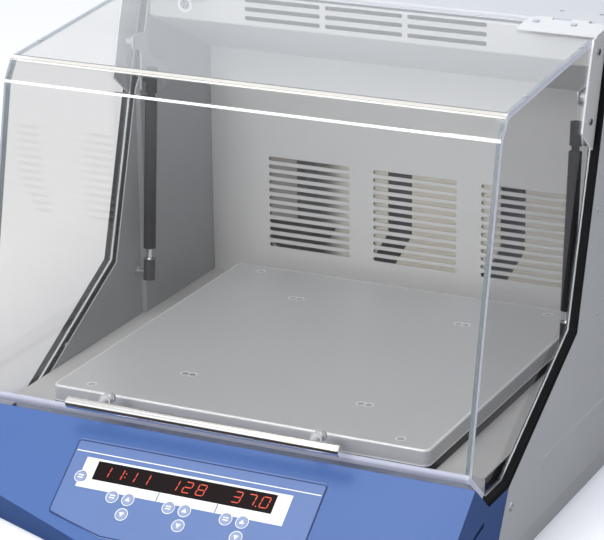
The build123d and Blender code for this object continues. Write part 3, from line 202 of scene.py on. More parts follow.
def satin_metal(name, colour, roughness, metallic=1.0, brush=(1, 1, 40), grain=3.0 * MM, edge_highlight=0.0):
    """Bare or anodised metal with a rolled or brushed grain: fine stretched lines that blur its reflections.
    An edge highlight of some width is painted along a sheet's rounded corners: a pale, faintly glowing line that
    stands in for the light they catch."""
    material, tree, place = new_material(name)
    stretch = add(tree, "ShaderNodeMapping", {"Scale": brush, "Vector": place}).outputs["Vector"]
    lines = noise(tree, stretch, grain * max(brush), 3.0)
    inputs = {
        "Metallic": metallic,
        "Base Color": mottled(tree, place, colour, 120 * MM, 0.03),
        "Roughness": ranged(tree, lines, roughness - 0.06, roughness + 0.08),
        "Normal": softened_edges(tree, 0.6 * MM, lines, 0.06, 0.1 * MM),
    }
    if edge_highlight:
        rounded = add(tree, "ShaderNodeBevel", {"Radius": edge_highlight}, samples=6).outputs["Normal"]
        flat = add(tree, "ShaderNodeNewGeometry").outputs["True Normal"]
        match = add(tree, "ShaderNodeVectorMath", {0: rounded, 1: flat}, operation="DOT_PRODUCT").outputs["Value"]
        # Painted highlight: rounded edges are painted white and glow faintly.
        painted_glint = ranged(tree, match, 0.0, 1.0, start=0.999, end=0.96)
        inputs["Base Color"] = blended(tree, painted_glint, inputs["Base Color"], linear("#FFFFFF"))
        inputs["Emission Color"] = blended(tree, painted_glint, (0, 0, 0, 1), (1, 1, 1, 1))
        inputs["Emission Strength"] = 0.3
    return surfaced(material, principled(tree, inputs))


def darkened_sheet(name, colour, start, end):
    """Galvanised steel sheet, darker towards low x: brown-grey, then near black for 28 mm up to a width start,
    and clearing to the plain spangled zinc at a width end."""
    material, tree, place = new_material(name)
    spangle = add(tree, "ShaderNodeTexVoronoi", {"Scale": 1 / (5 * MM), "Vector": place}).outputs["Distance"]
    across = coordinates(tree, place)["X"]
    # Darker towards low x: brown-grey, then near black, then clearing to zinc.
    beside = maths(tree, "LESS_THAN", across, start - 28 * MM)
    dark_side = blended(tree, beside, linear("#3B3937"), linear("#8B8782"))
    clear = ranged(tree, across, 0.0, 1.0, start, end, smooth=True)
    return surfaced(material, principled(tree, {
        "Metallic": 0.2,
        "Base Color": blended(tree, clear, dark_side, mottled(tree, place, colour, 20 * MM, 0.05)),
        "Roughness": ranged(tree, spangle, 0.4, 0.6),
    }))


def chrome(tree, place, colour, size, smoothest, roughest):
    """Chrome plate: a mirror with faint soft patches, and fine polishing that dulls it a little."""
    return principled(tree, {
        "Metallic": 1.0,
        "Base Color": mottled(tree, place, colour, size, 0.03),
        "Roughness": ranged(tree, noise(tree, place, 4 * MM), smoothest, roughest),
    })


def chromed_tube(name, axis, radius):
    """Chromed steel tube, and pale nylon cap nuts: all that lies further than a radius from an axis along x,
    given as its (y, z), is the nylon."""
    material, tree, place = new_material(name)
    tube = chrome(tree, place, linear("#E9E3DD"), 60 * MM, 0.14, 0.22)
    nylon = principled(tree, {
        "IOR": 1.53, "Roughness": 0.4, "Base Color": mottled(tree, place, linear("#C4C6C8"), 9 * MM, 0.05)})
    away = distance(tree, place, (0.0, *axis), (0.0, 1.0, 1.0))
    return surfaced(material, mixed(tree, maths(tree, "GREATER_THAN", away, radius), tube, nylon))


def rod_and_socket(name, height):
    """Chromed piston rod, and below a height its black moulded socket: a hard change where one ends."""
    material, tree, place = new_material(name)
    rod = chrome(tree, place, linear("#D9DBDF"), 20 * MM, 0.08, 0.16)
    socket = principled(tree, {
        "IOR": 1.5, "Roughness": 0.4, "Base Color": mottled(tree, place, linear("#1B1C1F"), 20 * MM, 0.06),
        "Normal": softened_edges(tree, 0.4 * MM, noise(tree, place, SPARK_GRAIN), 0.1, 0.1 * MM)})
    above = maths(tree, "GREATER_THAN", coordinates(tree, place)["Z"], height)
    return surfaced(material, mixed(tree, above, socket, rod))


def moulded_plastic(name, colour, roughness, texture=SPARK_GRAIN, ior=1.5):
    """Injection-moulded plastic: an even spark-eroded texture and a soft broad gloss."""
    material, tree, place = new_material(name)
    spark = noise(tree, place, texture)
    return surfaced(material, principled(tree, {
        "IOR": ior,
        "Base Color": mottled(tree, place, colour, 40 * MM, 0.05),
        "Roughness": ranged(tree, spark, roughness - 0.04, roughness + 0.06),
        "Normal": softened_edges(tree, 0.4 * MM, spark, 0.12, 0.15 * MM),
    }))


ACRYLIC_IOR = 1.49
SAWN_SHARE, GLUE_LOSS = 0.85, 0.2     # share of milky frost and painted glow on a sawn edge, and how much less of it a glue joint has


def clear_sheet(name, colour, sawn, edge, painted_bends=(), glued=2.0):
    """Clear extruded acrylic, sawn to size and bent hot: gloss faces, and sawn edges and bends painted with
    light. The edges lie where |nx| passes 0.5 (sawn says on which side) and have the colour and the glow of
    edge: milky frost with a painted glow, or clear grey glue joints where nz passes glued. A bend is where
    -nz * sign(ny) is within reach of a middle value, and its share and colour are given with it: a painted
    highlight, or a dark painted band. Light for shadows passes straight through."""
    material, tree, place = new_material(name)
    waves = {"Strength": 0.05, "Distance": 0.4 * MM, "Height": noise(tree, place, 70 * MM, 1.0)}
    sheet = principled(tree, {
        "IOR": ACRYLIC_IOR, "Transmission Weight": 1.0,
        "Base Color": colour,
        "Roughness": ranged(tree, noise(tree, place, 25 * MM, 5.0), 0.0, 0.03),
        "Normal": add(tree, "ShaderNodeBump", waves).outputs["Normal"],
    })
    edge_colour, glow = edge
    facing = surface_direction(tree)
    joint = maths(tree, "GREATER_THAN", facing["Z"], glued)
    frost_and_painted_light = blended(tree, joint, mottled(tree, place, linear(edge_colour), 30 * MM, 0.05), linear("#A9B5BC"))
    share = maths(tree, "SUBTRACT", SAWN_SHARE, maths(tree, "MULTIPLY", joint, GLUE_LOSS))
    cover = maths(tree, "MULTIPLY", maths(tree, sawn, maths(tree, "ABSOLUTE", facing["X"]), FACING), share)
    side = maths(tree, "MULTIPLY", maths(tree, "SIGN", facing["Y"]), -1.0)
    turned = maths(tree, "MULTIPLY", facing["Z"], side)
    # Each bend paints a band by facing: a painted highlight, or a dark painted band.
    for middle, reach, amount, tone in painted_bends:
        bend = maths(tree, "COMPARE", turned, middle, reach)
        cover = maths(tree, "MAXIMUM", cover, maths(tree, "MULTIPLY", bend, amount))
        frost_and_painted_light = blended(tree, bend, frost_and_painted_light, linear(tone))
    # Painted light: this shader gives the sawn edges and bends their painted highlights, and the edges an emitted
    # painted glow.
    edge_and_bend_bsdf = principled(tree, {
        "IOR": ACRYLIC_IOR, "Transmission Weight": 0.25, "Emission Strength": glow,
        "Base Color": frost_and_painted_light, "Emission Color": frost_and_painted_light,
        "Roughness": ranged(tree, noise(tree, place, 2 * MM), 0.3, 0.5),
    })
    through = add(tree, "ShaderNodeBsdfTransparent", {"Color": colour}).outputs["BSDF"]
    rays = add(tree, "ShaderNodeLightPath").outputs
    either = maths(tree, "MAXIMUM", rays["Is Shadow Ray"], rays["Is Diffuse Ray"])
    return surfaced(material, mixed(tree, either, mixed(tree, cover, sheet, edge_and_bend_bsdf), through))


def glowing_print(name, colour, strength):
    """Light-emitting segments behind tinted film: an even red-orange glow with softer patches."""
    material, tree, place = new_material(name)
    return surfaced(material, principled(tree, {
        "Roughness": 0.4, "Emission Strength": strength,
        "Base Color": mottled(tree, place, colour, 3 * MM, 0.1),
        "Emission Color": mottled(tree, place, colour, 4 * MM, 0.12),
    }))


def screen_print(name, colour):
    """Screen-printed ink on polyester film: flat and matt, with slightly uneven cover."""
    material, tree, place = new_material(name)
    cover = {"Strength": 0.05, "Distance": 0.05 * MM, "Height": noise(tree, place, 1.5 * MM, 3.0)}
    return surfaced(material, principled(tree, {
        "Roughness": 0.45, "IOR": 1.45,
        "Base Color": mottled(tree, place, colour, 6 * MM, 0.03),
        "Normal": add(tree, "ShaderNodeBump", cover).outputs["Normal"],
    }))


def meshed_vent(name, centre, rim):
    """Moulded nylon vent: a smooth white rim, and inside it a grey-blue field with a fine raised mesh."""
    material, tree, place = new_material(name)
    inside = maths(tree, "LESS_THAN", distance(tree, place, centre, (1.0, 0.0, 1.0)), rim)
    mesh = add(tree, "ShaderNodeTexVoronoi", {"Scale": 1 / (2.4 * MM), "Randomness": 0.0, "Vector": place},
               feature="DISTANCE_TO_EDGE").outputs["Distance"]
    ribs = maths(tree, "LESS_THAN", mesh, 0.13)
    field = blended(tree, ribs, linear("#8D919F"), linear("#D5D8E2"))
    return surfaced(material, principled(tree, {
        "IOR": 1.53, "Roughness": 0.45,
        "Base Color": blended(tree, inside, mottled(tree, place, linear("#F4F5F7"), 9 * MM, 0.02), field),
        "Normal": softened_edges(tree, 0.5 * MM, noise(tree, place, SPARK_GRAIN), 0.1, 0.1 * MM),
    }))


def dress(names, material):
    """Gives CAD nodes a material in every slot."""
    for name in names:
        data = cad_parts[name].data
        data.materials.clear()
        data.materials.append(material)


def both(name):
    return [name + "_left", name + "_right"]


# ---------------------------------------------------------------- surfaces
def finish_piece(name, points, faces, material, body):
    """Makes a mesh object of points and faces at the origin, riding on a body."""
    data = bpy.data.meshes.new(name)
    data.from_pydata(np.asarray(points, float).tolist(), [], [list(map(int, f)) for f in faces])
    data.update()
    data.materials.append(material)
    piece = bpy.data.objects.new(name, data)
    bpy.context.scene.collection.objects.link(piece)
    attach(piece, body)
    return piece


FASCIA_SLOPE = math.radians(38.0)
CREST = np.array([0.0, -217.8, 133.6])
FASCIA_DOWN = np.array([0.0, -math.cos(FASCIA_SLOPE), -math.sin(FASCIA_SLOPE)])
FASCIA_OUT = np.array([0.0, -math.sin(FASCIA_SLOPE), math.cos(FASCIA_SLOPE)])
FOIL_TOP = 0.8                    # face of the keypad foil above the fascia, mm


def on_fascia(across, down, out):
    """Points of the sloping front: crest + across * X + down * the slope + out * its normal, in metres."""
    across, down, out = np.broadcast_arrays(*(np.asarray(v, float) for v in (across, down, out)))
    points = CREST + across[..., None] * np.array([1.0, 0, 0]) + down[..., None] * FASCIA_DOWN
    return (points + out[..., None] * FASCIA_OUT) * MM


def printed_plates(outlines, base, top):
    """Flat plates from an array of outlines (plate, corner, 2) on the fascia: each is its outline at two
    heights, joined by side faces and closed by its outline at both ends."""
    outlines = np.asarray(outlines, float)
    count, corners = outlines.shape[:2]
    heights = np.array([base, top])[None, :, None]
    points = on_fascia(outlines[:, None, :, 0], outlines[:, None, :, 1], heights)
    start = (np.arange(count) * 2 * corners)[:, None]
    ring = np.arange(corners)[None, :]
    follow = (ring + 1) % corners
    sides = np.stack([start + follow, start + ring, start + ring + corners, start + follow + corners], -1)
    caps = np.concatenate([start + ring, (start + ring + corners)[:, ::-1]])
    return points.reshape(-1, 3), [*sides.reshape(-1, 4), *caps]


def printed_ring(inner, outer, base, top):
    """Raised print between two closed outlines with equal counts: at each corner the section runs
    inner foot, inner top, outer top, outer foot."""
    inner, outer = np.asarray(inner, float), np.asarray(outer, float)
    section = np.stack([inner, inner, outer, outer], 1)
    heights = np.array([base, top, top, base])[None, :]
    points = on_fascia(section[..., 0], section[..., 1], heights)
    count = len(inner)
    i, j = np.meshgrid(np.arange(count), np.arange(4), indexing="ij")
    ni, nj = (i + 1) % count, (j + 1) % 4
    faces = np.stack([i * 4 + j, i * 4 + nj, ni * 4 + nj, ni * 4 + j], -1).reshape(-1, 4)
    return points.reshape(-1, 3), faces


def circle(centre, radius, count=48):
    """Outline of a circle: centre + radius * (cos, sin)."""
    turn = np.linspace(0, 2 * np.pi, count, endpoint=False)
    return np.stack([centre[0] + radius * np.cos(turn), centre[1] + radius * np.sin(turn)], 1)


def box_outline(left, right, top, bottom):
    return np.array([(left, top), (right, top), (right, bottom), (left, bottom)], float)


def grown(outline, amount):
    """A convex outline moved outwards by an amount, corner by corner along the mean of its two edge normals."""
    outline = np.asarray(outline, float)
    ahead = np.roll(outline, -1, 0) - outline
    ahead /= np.linalg.norm(ahead, axis=1, keepdims=True)
    behind = np.roll(ahead, 1, 0)
    middle = outline.mean(0)
    normal = np.stack([ahead[:, 1] + behind[:, 1], -ahead[:, 0] - behind[:, 0]], 1)
    outwards = np.sign(np.sum(normal * (outline - middle), 1, keepdims=True))
    unit = normal / np.linalg.norm(normal, axis=1, keepdims=True) * outwards
    reach = np.abs(np.sum(unit * np.stack([ahead[:, 1], -ahead[:, 0]], 1), 1, keepdims=True))
    return outline + unit * amount / reach


SCREW_PROFILE = np.array([(0.0, 0.15), (1.0, 0.15), (1.35, 0.95), (2.4, 0.85), (3.1, 0.5), (3.4, -0.1)])


def screw_heads(places, sizes, side, turns=20):
    """Low screw heads on a wall of constant x: the profile (radius, height) times a size goes round its axis,
    a point being place + height * side in x and + radius * (cos, sin) in y and z. In mm, given in metres."""
    turn = np.linspace(0, 2 * np.pi, turns, endpoint=False)
    radius, height = SCREW_PROFILE[:, 0], SCREW_PROFILE[:, 1]
    head = np.stack([
        np.broadcast_to((height * side)[:, None], (len(radius), turns)),
        radius[:, None] * np.cos(turn), radius[:, None] * np.sin(turn) * side], -1)
    scale = np.array(sizes)[:, None, None, None]
    points = (np.asarray(places, float)[:, None, None, :] + head * scale) * MM
    ring, corner = np.meshgrid(np.arange(len(radius) - 1), np.arange(turns), indexing="ij")
    follow = (corner + 1) % turns
    band = np.stack([ring * turns + corner, (ring + 1) * turns + corner,
                     (ring + 1) * turns + follow, ring * turns + follow], -1).reshape(-1, 4)
    start = (np.arange(len(places)) * len(radius) * turns)[:, None, None]
    return points.reshape(-1, 3), (start + band).reshape(-1, 4)


# ---------------------------------------------------------------- keypad and display
KEY_PLACES = [(-130.8, 66.3)] + [
    (x, down)
    for group in range(3)
    for x, down in (
        (-86.5 + group * 65.9, 82.5),
        (-67.9 + group * 65.9, 82.5),
        (-68.2 + group * 65.9, 100.0),
    )
]
UP_KEYS = (3, 6, 9)
DOWN_KEYS = (4, 7, 10)
LABEL = (-132.5, 106.8, 43.0, 78.3)
DISPLAY = (-117.5, 90.5, 45.4, 67.5)
KEY_CLEAR = 6.4                   # radius round a key that is left free of the label, mm
LABEL_STRIP = 1.0                 # least width of the label beside the display, mm
DIVIDERS = (-37.0, 30.7)          # dark lines that part the label in three
KEY_RING = (6.3, 7.2)             # radii of the ring printed round a key, mm
KEY_FACE = FOIL_TOP + 0.5         # a key's face above the fascia, mm
INK = 0.06                        # thickness of the marks on the keys, mm
ARROW_HALF = 2.9
MARK_HALF, MARK_NEAR, MARK_FAR = 3.0, 0.8, 2.0      # two bars on a key: half length, and reach from its middle
KEYPAD_LEFT, KEYPAD_RIGHT = -147.5, 135.5
SEGMENTS = {
    "0": "abcdef", "1": "bc", "2": "abged", "3": "abgcd", "7": "abc", "8": "abcdefg",
}
DIGIT_WIDTH, DIGIT_HEIGHT, DIGIT_STROKE, DIGIT_LEAN = 8.6, 12.4, 0.95, 0.14
DIGIT_TOP, DIGIT_RELIEF = 50.0, 0.05
BAR_GAP, DOT_RADIUS = 0.35, 0.7
COLON_BACK, POINT_BACK = 3.2, 3.4 # how far a colon and a point stand before the next digit, mm
READINGS = [("11:11", -110.0, 15.4), ("128", -29.5, 15.6), ("37.0", 43.0, 15.8)]


def digit_bars(text, left, pitch, top):
    """Ends of the lit bars of a row of seven-segment digits, and its dots, leaning to the right."""
    w, h = DIGIT_WIDTH, DIGIT_HEIGHT
    ends = {
        "a": (0, 0, w, 0), "b": (w, 0, w, h / 2), "c": (w, h / 2, w, h), "d": (0, h, w, h),
        "e": (0, h / 2, 0, h), "f": (0, 0, 0, h / 2), "g": (0, h / 2, w, h / 2),
    }
    bars, dots, x = [], [], left
    for sign in text:
        if sign == ":":
            dots += [(x - COLON_BACK, h * 0.33), (x - COLON_BACK, h * 0.67)]
            continue
        if sign == ".":
            dots.append((x - POINT_BACK, h))
            continue
        bars += [(x + a, b, x + c, d) for a, b, c, d in (ends[s] for s in SEGMENTS[sign])]
        x += pitch
    bars = np.array(bars, float).reshape(-1, 2, 2)
    bars[..., 0] += (h - bars[..., 1]) * DIGIT_LEAN
    dots = np.array(dots, float).reshape(-1, 2)
    dots[:, 0] += (h - dots[:, 1]) * DIGIT_LEAN
    return bars + [0, top], dots + [0, top]


def label_outlines(count=160):
    """Inner and outer outline of the white label, side by side with equal counts. The inner one is the display.
    The outer one is the label's box, with its lower and left sides drawn in round each key by the circle
    edge = centre -+ sqrt(radius^2 - distance^2), so that a key never passes through the print."""
    left, right, top, bottom = LABEL
    inner_left, inner_right, inner_top, inner_bottom = DISPLAY
    keys = np.array(KEY_PLACES)

    def notch(across, centres):
        reach = KEY_CLEAR ** 2 - (across[:, None] - centres[None, :]) ** 2
        return np.sqrt(np.maximum(reach, 0)), reach > 0

    x, y = np.linspace(left, right, 4 * count), np.linspace(top, bottom, count)
    rise, near = notch(x, keys[1:, 0])
    lower_side = np.where(near, keys[1:, 1] - rise, bottom).min(1).clip(inner_bottom + LABEL_STRIP, bottom)
    rise, near = notch(y, keys[:1, 1])
    left_side = np.where(near, keys[:1, 0] + rise, left).max(1).clip(left, inner_left - LABEL_STRIP)
    # The display's outline has as many points, so what lies beyond its corners shares a short end of its sides.
    end_x, end_y = 0.5, 0.3
    inner_x = np.interp(x, [left, inner_left, inner_right, right],
                        [inner_left, inner_left + end_x, inner_right - end_x, inner_right])
    inner_y = np.interp(y, [top, inner_top, inner_bottom, bottom],
                        [inner_top, inner_top + end_y, inner_bottom - end_y, inner_bottom])
    flat_x, flat_y = np.ones_like(x), np.ones_like(y)
    sides = (
        (inner_x, inner_top * flat_x, x, top * flat_x),
        (inner_right * flat_y, inner_y, right * flat_y, y),
        (inner_x[::-1], inner_bottom * flat_x, x[::-1], lower_side[::-1]),
        (inner_left * flat_y, inner_y[::-1], left_side[::-1], y[::-1]),
    )
    runs = np.concatenate([np.stack(side, 1)[:-1] for side in sides])
    return runs[:, :2], runs[:, 2:]


def bar_outlines(bars, width):
    """Six-sided outline of each bar: pointed at both ends, a gap short of its neighbours."""
    along = bars[:, 1] - bars[:, 0]
    along /= np.linalg.norm(along, axis=1, keepdims=True)
    across = np.stack([-along[:, 1], along[:, 0]], 1)
    start, end = bars[:, 0] + along * BAR_GAP, bars[:, 1] - along * BAR_GAP
    half = width / 2
    return np.stack([
        start,
        start + (along + across) * half,
        end - (along - across) * half,
        end,
        end - (along + across) * half,
        start + (along - across) * half,
    ], 1)


def turned_right(outlines):
    """The outlines with their corners in one turning sense, so that every plate faces outwards."""
    outlines = np.asarray(outlines, float)
    ahead = np.roll(outlines, -1, 1)
    area = np.sum(outlines[..., 0] * ahead[..., 1] - ahead[..., 0] * outlines[..., 1], 1)
    return np.where((area > 0)[:, None, None], outlines, outlines[:, ::-1])


def colour_value(name, description, code):
    return FloatVectorProperty(
        name=name, description=description, subtype="COLOR", size=4, default=linear(code), min=0, max=1)


class ShakerFinish(bpy.types.PropertyGroup):
    fascia_blue: colour_value("Front blue", "Powder coat of the sloping front", "#4264A2")
    foil_blue: colour_value("Keypad blue", "Film of the keypad", "#5D77AC")
    housing_grey: colour_value("Housing grey", "Powder coat of the walls and the top", "#CDD0D6")
    chamber_grey: colour_value("Chamber grey", "Lining of the chamber", "#C4C4C4")
    platform_grey: colour_value("Platform silver", "Anodised platform", "#C6C7C9")
    hood_tint: colour_value("Hood tint", "Clear sheet of the hood", "#F5F5F5")


class ShakerPrint(bpy.types.PropertyGroup):
    print_height: FloatProperty(
        name="Print height", description="How far the ink stands above the film", subtype="DISTANCE",
        unit="LENGTH", default=0.06 * MM, min=0.02 * MM, max=0.3 * MM)
    line_width: FloatProperty(
        name="Line width", description="Width of the printed lines", subtype="DISTANCE", unit="LENGTH",
        default=1.1 * MM, min=0.2 * MM, max=3 * MM)
    glow: FloatProperty(
        name="Display glow", description="Strength of the lit digits", default=0.75, min=0, max=10)


FOCAL_PIXELS, PHOTO_WIDTH = 2649.9, 604      # focal length fitted to the photo, and the photo's width, pixels
SENSOR_WIDTH = 36                            # mm


class ShakerStage(bpy.types.PropertyGroup):
    lens: FloatProperty(
        name="Lens", description="Focal length of the camera, in millimetres",
        default=FOCAL_PIXELS * SENSOR_WIDTH / PHOTO_WIDTH, min=20, max=400)
    key_power: FloatProperty(
        name="Main light", description="Power of the large soft light", unit="POWER", default=49, min=0, max=2000)
    top_power: FloatProperty(
        name="Overhead light", description="Power of the soft light above", unit="POWER", default=5, min=0, max=2000)
    sky: FloatProperty(
        name="Room light", description="Strength of the even light from all round", default=0.6, min=0, max=2)


SKIN_REACH = 280.0 * MM           # the side walls' inner skins lie nearer to the middle than this
DUCT_SHADE_FRONT = 300.0 * MM           # and painted shade lies in the air duct behind this
OUTER_SCREWS = np.array([(290.0, -122.6, 76.8), (290.0, 116.9, 324.7), (290.0, 122.6, 204.5)])
INNER_SCREWS = np.array([(275.0, 72.6, 215.7), (275.0, -53.5, 140.9), (275.0, 272.7, 143.0)])
OUTER_SIZES, INNER_SIZES = (1.5, 0.9, 0.7), (1.0, 1.0, 1.0)
MIRRORED = np.array([-1.0, 1.0, 1.0])
DARK_END, ZINC_START = -122.0 * MM, -86.0 * MM      # dark part of the sheet behind the back wall, along x


class SHAKER_OT_housing(bpy.types.Operator):
    """Powder coat on the front cover, the walls, the top and back, and the pan"""
    bl_idname = "shaker.housing"
    bl_label = "Housing"

    def execute(self, context):
        finish = context.scene.shaker_finish
        dress(["front_cover"], powder_coat("powder_coated_steel_blue", finish.fascia_blue, 0.42))
        # The side walls' inner faces carry a darker painted shade.
        grey = powder_coat("powder_coated_steel_light_grey", finish.housing_grey, 0.45, skins=SKIN_REACH)
        dress([*both("side_wall"), "base_pan"], grey)
        # The rear housing's air duct carries painted shade: black on its forward-looking inner faces.
        duct_shaded = powder_coat("powder_coated_steel_duct_shade", finish.housing_grey, 0.45, duct_shade_depth=DUCT_SHADE_FRONT)
        dress(["rear_housing"], duct_shaded)
        rubber = moulded_plastic("moulded_rubber_black", linear("#0D0D0F"), 0.7, 1.5 * MM, 1.25)
        dress([*both("seal"), "seal_rear", "feet"], rubber)
        return {"FINISHED"}


class SHAKER_OT_wall_screws(bpy.types.Operator):
    """Small screw heads on the outside and inside of the side walls"""
    bl_idname = "shaker.wall_screws"
    bl_label = "Wall screws"

    def execute(self, context):
        steel = satin_metal("zinc_plated_screw_steel", linear("#D3D6DB"), 0.35, 0.5)
        finish_piece("wall_screws_right", *screw_heads(OUTER_SCREWS, OUTER_SIZES, 1.0), steel, "base")
        finish_piece("wall_screws_left", *screw_heads(OUTER_SCREWS * MIRRORED, OUTER_SIZES, -1.0), steel, "base")
        finish_piece("skin_screws_left", *screw_heads(INNER_SCREWS * MIRRORED, INNER_SIZES, 1.0), steel, "base")
        finish_piece("skin_screws_right", *screw_heads(INNER_SCREWS, INNER_SIZES, -1.0), steel, "base")
        return {"FINISHED"}


class SHAKER_OT_chamber(bpy.types.Operator):
    """Lining, slotted back wall and what shows through its slots"""
    bl_idname = "shaker.chamber"
    bl_label = "Chamber"

    def execute(self, context):
        finish = context.scene.shaker_finish
        dress(["duct_wall"], powder_coat("enamelled_steel_duct_wall", finish.chamber_grey, 0.38, 3.0 * MM))
        low, high = (np.array(corner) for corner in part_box("platform"))
        margin = 4 * MM
        under = ((low - margin).tolist(), (high + margin).tolist())
        # Painted shade: the chamber floor under the platform is painted black, and its upright side faces a darker
        # grey.
        lining = powder_coat("enamelled_steel_chamber_grey", finish.chamber_grey, 0.38, 3.0 * MM,
                             under_platform_shade=under, skins=SKIN_REACH)
        dress(["chamber_liner"], lining)
        dress(["duct_baffle"], darkened_sheet("galvanised_steel_sheet", linear("#CBC7BA"), DARK_END, ZINC_START))
        low, high = (np.array(corner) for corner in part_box("round_vent"))
        mesh_share = 0.36
        vent = meshed_vent("moulded_nylon_white", ((low + high) / 2).tolist(), float(high[0] - low[0]) * mesh_share)
        dress(["round_vent"], vent)
        dress(["fan_motor", "fan_wheel"], moulded_plastic("moulded_nylon_black", linear("#202124"), 0.5))
        dress(["heater"], satin_metal("drawn_steel_tube", linear("#9A9B9D"), 0.35))
        return {"FINISHED"}


class SHAKER_OT_platform(bpy.types.Operator):
    """Anodised platform, its screws and the black carriage"""
    bl_idname = "shaker.platform"
    bl_label = "Platform"

    def execute(self, context):
        finish = context.scene.shaker_finish
        # The tray's rounded edges carry a painted highlight.
        tray = satin_metal("anodised_aluminium_silver", finish.platform_grey, 0.42, metallic=0.2,
                           brush=(1, 30, 1), grain=2.5 * MM, edge_highlight=3 * MM)
        dress(["platform"], tray)
        dress(["platform_screws"], satin_metal("stainless_steel_screws", linear("#B7B9BC"), 0.4, 0.6))
        dress(["carriage"], powder_coat("powder_coated_steel_black", linear("#1B1C1E"), 0.5))
        return {"FINISHED"}


class SHAKER_OT_drive(bpy.types.Operator):
    """Cranks, bearings, pulleys, belt, motor and the parts in the base"""
    bl_idname = "shaker.drive"
    bl_label = "Drive"

    def execute(self, context):
        steel = satin_metal("turned_steel", linear("#A9AAAD"), 0.3)
        dress(["drive_crank", *both("idler_crank_front"), "idler_crank_rear", "bearing_blocks"], steel)
        cast = powder_coat("cast_iron_dark", linear("#4A4C50"), 0.6, 2.5 * MM)
        dress(["counterweight", "power_supply"], cast)
        black = moulded_plastic("moulded_nylon_pulley", linear("#222327"), 0.45)
        dress(["drive_pulley", "motor_pulley"], black)
        dress(["drive_motor"], powder_coat("painted_motor_black", linear("#1F2022"), 0.45))
        dress(["drive_belt"], moulded_plastic("ribbed_rubber_belt", linear("#161617"), 0.6))
        dress(["control_board"], moulded_plastic("glass_fibre_board_green", linear("#1F5A38"), 0.4))
        dress(["mains_inlet", "power_switch", "power_rocker"],
              moulded_plastic("moulded_polyamide_black", linear("#1C1D1F"), 0.4))
        return {"FINISHED"}


class SHAKER_OT_hood(bpy.types.Operator):
    """Clear hood, chrome handle, hinge brackets and gas springs"""
    bl_idname = "shaker.hood"
    bl_label = "Hood"

    def execute(self, context):
        finish = context.scene.shaker_finish
        # Painted light on the hood: pale painted highlights on its bends and lip, a dark painted band, and a painted
        # glow on the sawn edges.
        painted_bends = ((0.88, 0.09, 0.65, "#EFEDE6"), (0.385, 0.12, 0.85, "#F2F3F3"), (-0.25, 0.44, 0.6, "#C0C2D3"),
                 (0.985, 0.007, 0.7, "#50565F"))
        wrap = clear_sheet("bent_acrylic_clear", finish.hood_tint, "GREATER_THAN", ("#C3CFD4", 0.45), painted_bends)
        dress(["hood_wrap"], wrap)
        side = clear_sheet("sawn_acrylic_clear", finish.hood_tint, "LESS_THAN", ("#F4F5F3", 0.1), glued=0.05)
        dress(both("hood_side"), side)
        low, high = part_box("handle_bar")
        axis = (low[1] + HANDLE_RADIUS, (low[2] + high[2]) / 2)
        dress(["handle_bar"], chromed_tube("chromed_steel", axis, HANDLE_RADIUS + NUT_STEP))
        dress(["spring_mounts"], satin_metal("zinc_plated_steel", linear("#C3C5C9"), 0.3))
        dress(both("spring_rod"), rod_and_socket("chromed_rod_black_socket", SOCKET_TOP))
        dress(both("hinge_bracket"), powder_coat("powder_coated_steel_white", linear("#DFE1E5"), 0.4))
        dress(["hinge_leaves", "hood_screws"], satin_metal("stainless_steel_satin", linear("#B9BCC2"), 0.32))
        dress(["spring_plates"], satin_metal("zinc_plated_steel_sheet", linear("#B4B6BC"), 0.45, 0.4))
        tube = powder_coat("painted_steel_tube_black", linear("#0C0D10"), 0.45, ior=1.25)
        dress(both("spring_cylinder"), tube)
        return {"FINISHED"}


class SHAKER_OT_keypad(bpy.types.Operator):
    """Film of the keypad, its keys, outline, line, label and dividers"""
    bl_idname = "shaker.keypad"
    bl_label = "Keypad print"

    def execute(self, context):
        finish, ink = context.scene.shaker_finish, context.scene.shaker_print
        dress(["keypad_foil"], moulded_plastic("printed_polyester_film_blue", finish.foil_blue, 0.42))
        dress(["display_window"], moulded_plastic("tinted_film_black", linear("#150A0B"), 0.45, 3 * MM, 1.2))
        keys = [f"key_{i:02d}" for i in range(1, 11)]
        dress(keys, moulded_plastic("silicone_key_grey_blue", linear("#8E9EC4"), 0.5))
        white = screen_print("screen_print_white", linear("#F2F4F8"))
        dark = screen_print("screen_print_navy", linear("#1B2F63"))
        high = FOIL_TOP + ink.print_height / MM
        width = ink.line_width / MM
        left, right, corner = KEYPAD_LEFT, KEYPAD_RIGHT, 2.0
        edge = np.array([
            (left, 25.0), (right, 25.0), (right + corner, 27.0), (right + corner, 109.0), (right, 112.5),
            (70.0, 128.5), (-82.0, 128.5), (left, 112.5), (left - corner, 109.0), (left - corner, 27.0)])
        outline = printed_ring(grown(edge, -0.6 * width), grown(edge, 0.6 * width), FOIL_TOP - 0.3, high)
        finish_piece("keypad_outline", *outline, dark, "base")
        line = box_outline(left, right, 36.5, 36.5 + width)
        finish_piece("keypad_line", *printed_plates(turned_right([line]), FOIL_TOP, high), white, "base")
        label = printed_ring(*label_outlines(), FOIL_TOP, high)
        finish_piece("keypad_label", *label, white, "base")
        cuts = [box_outline(x - 0.5, x + 0.5, DISPLAY[3] + 0.4, LABEL[3] - 0.2) for x in DIVIDERS]
        finish_piece("label_dividers", *printed_plates(turned_right(cuts), high, high + 0.04), dark, "base")
        return {"FINISHED"}


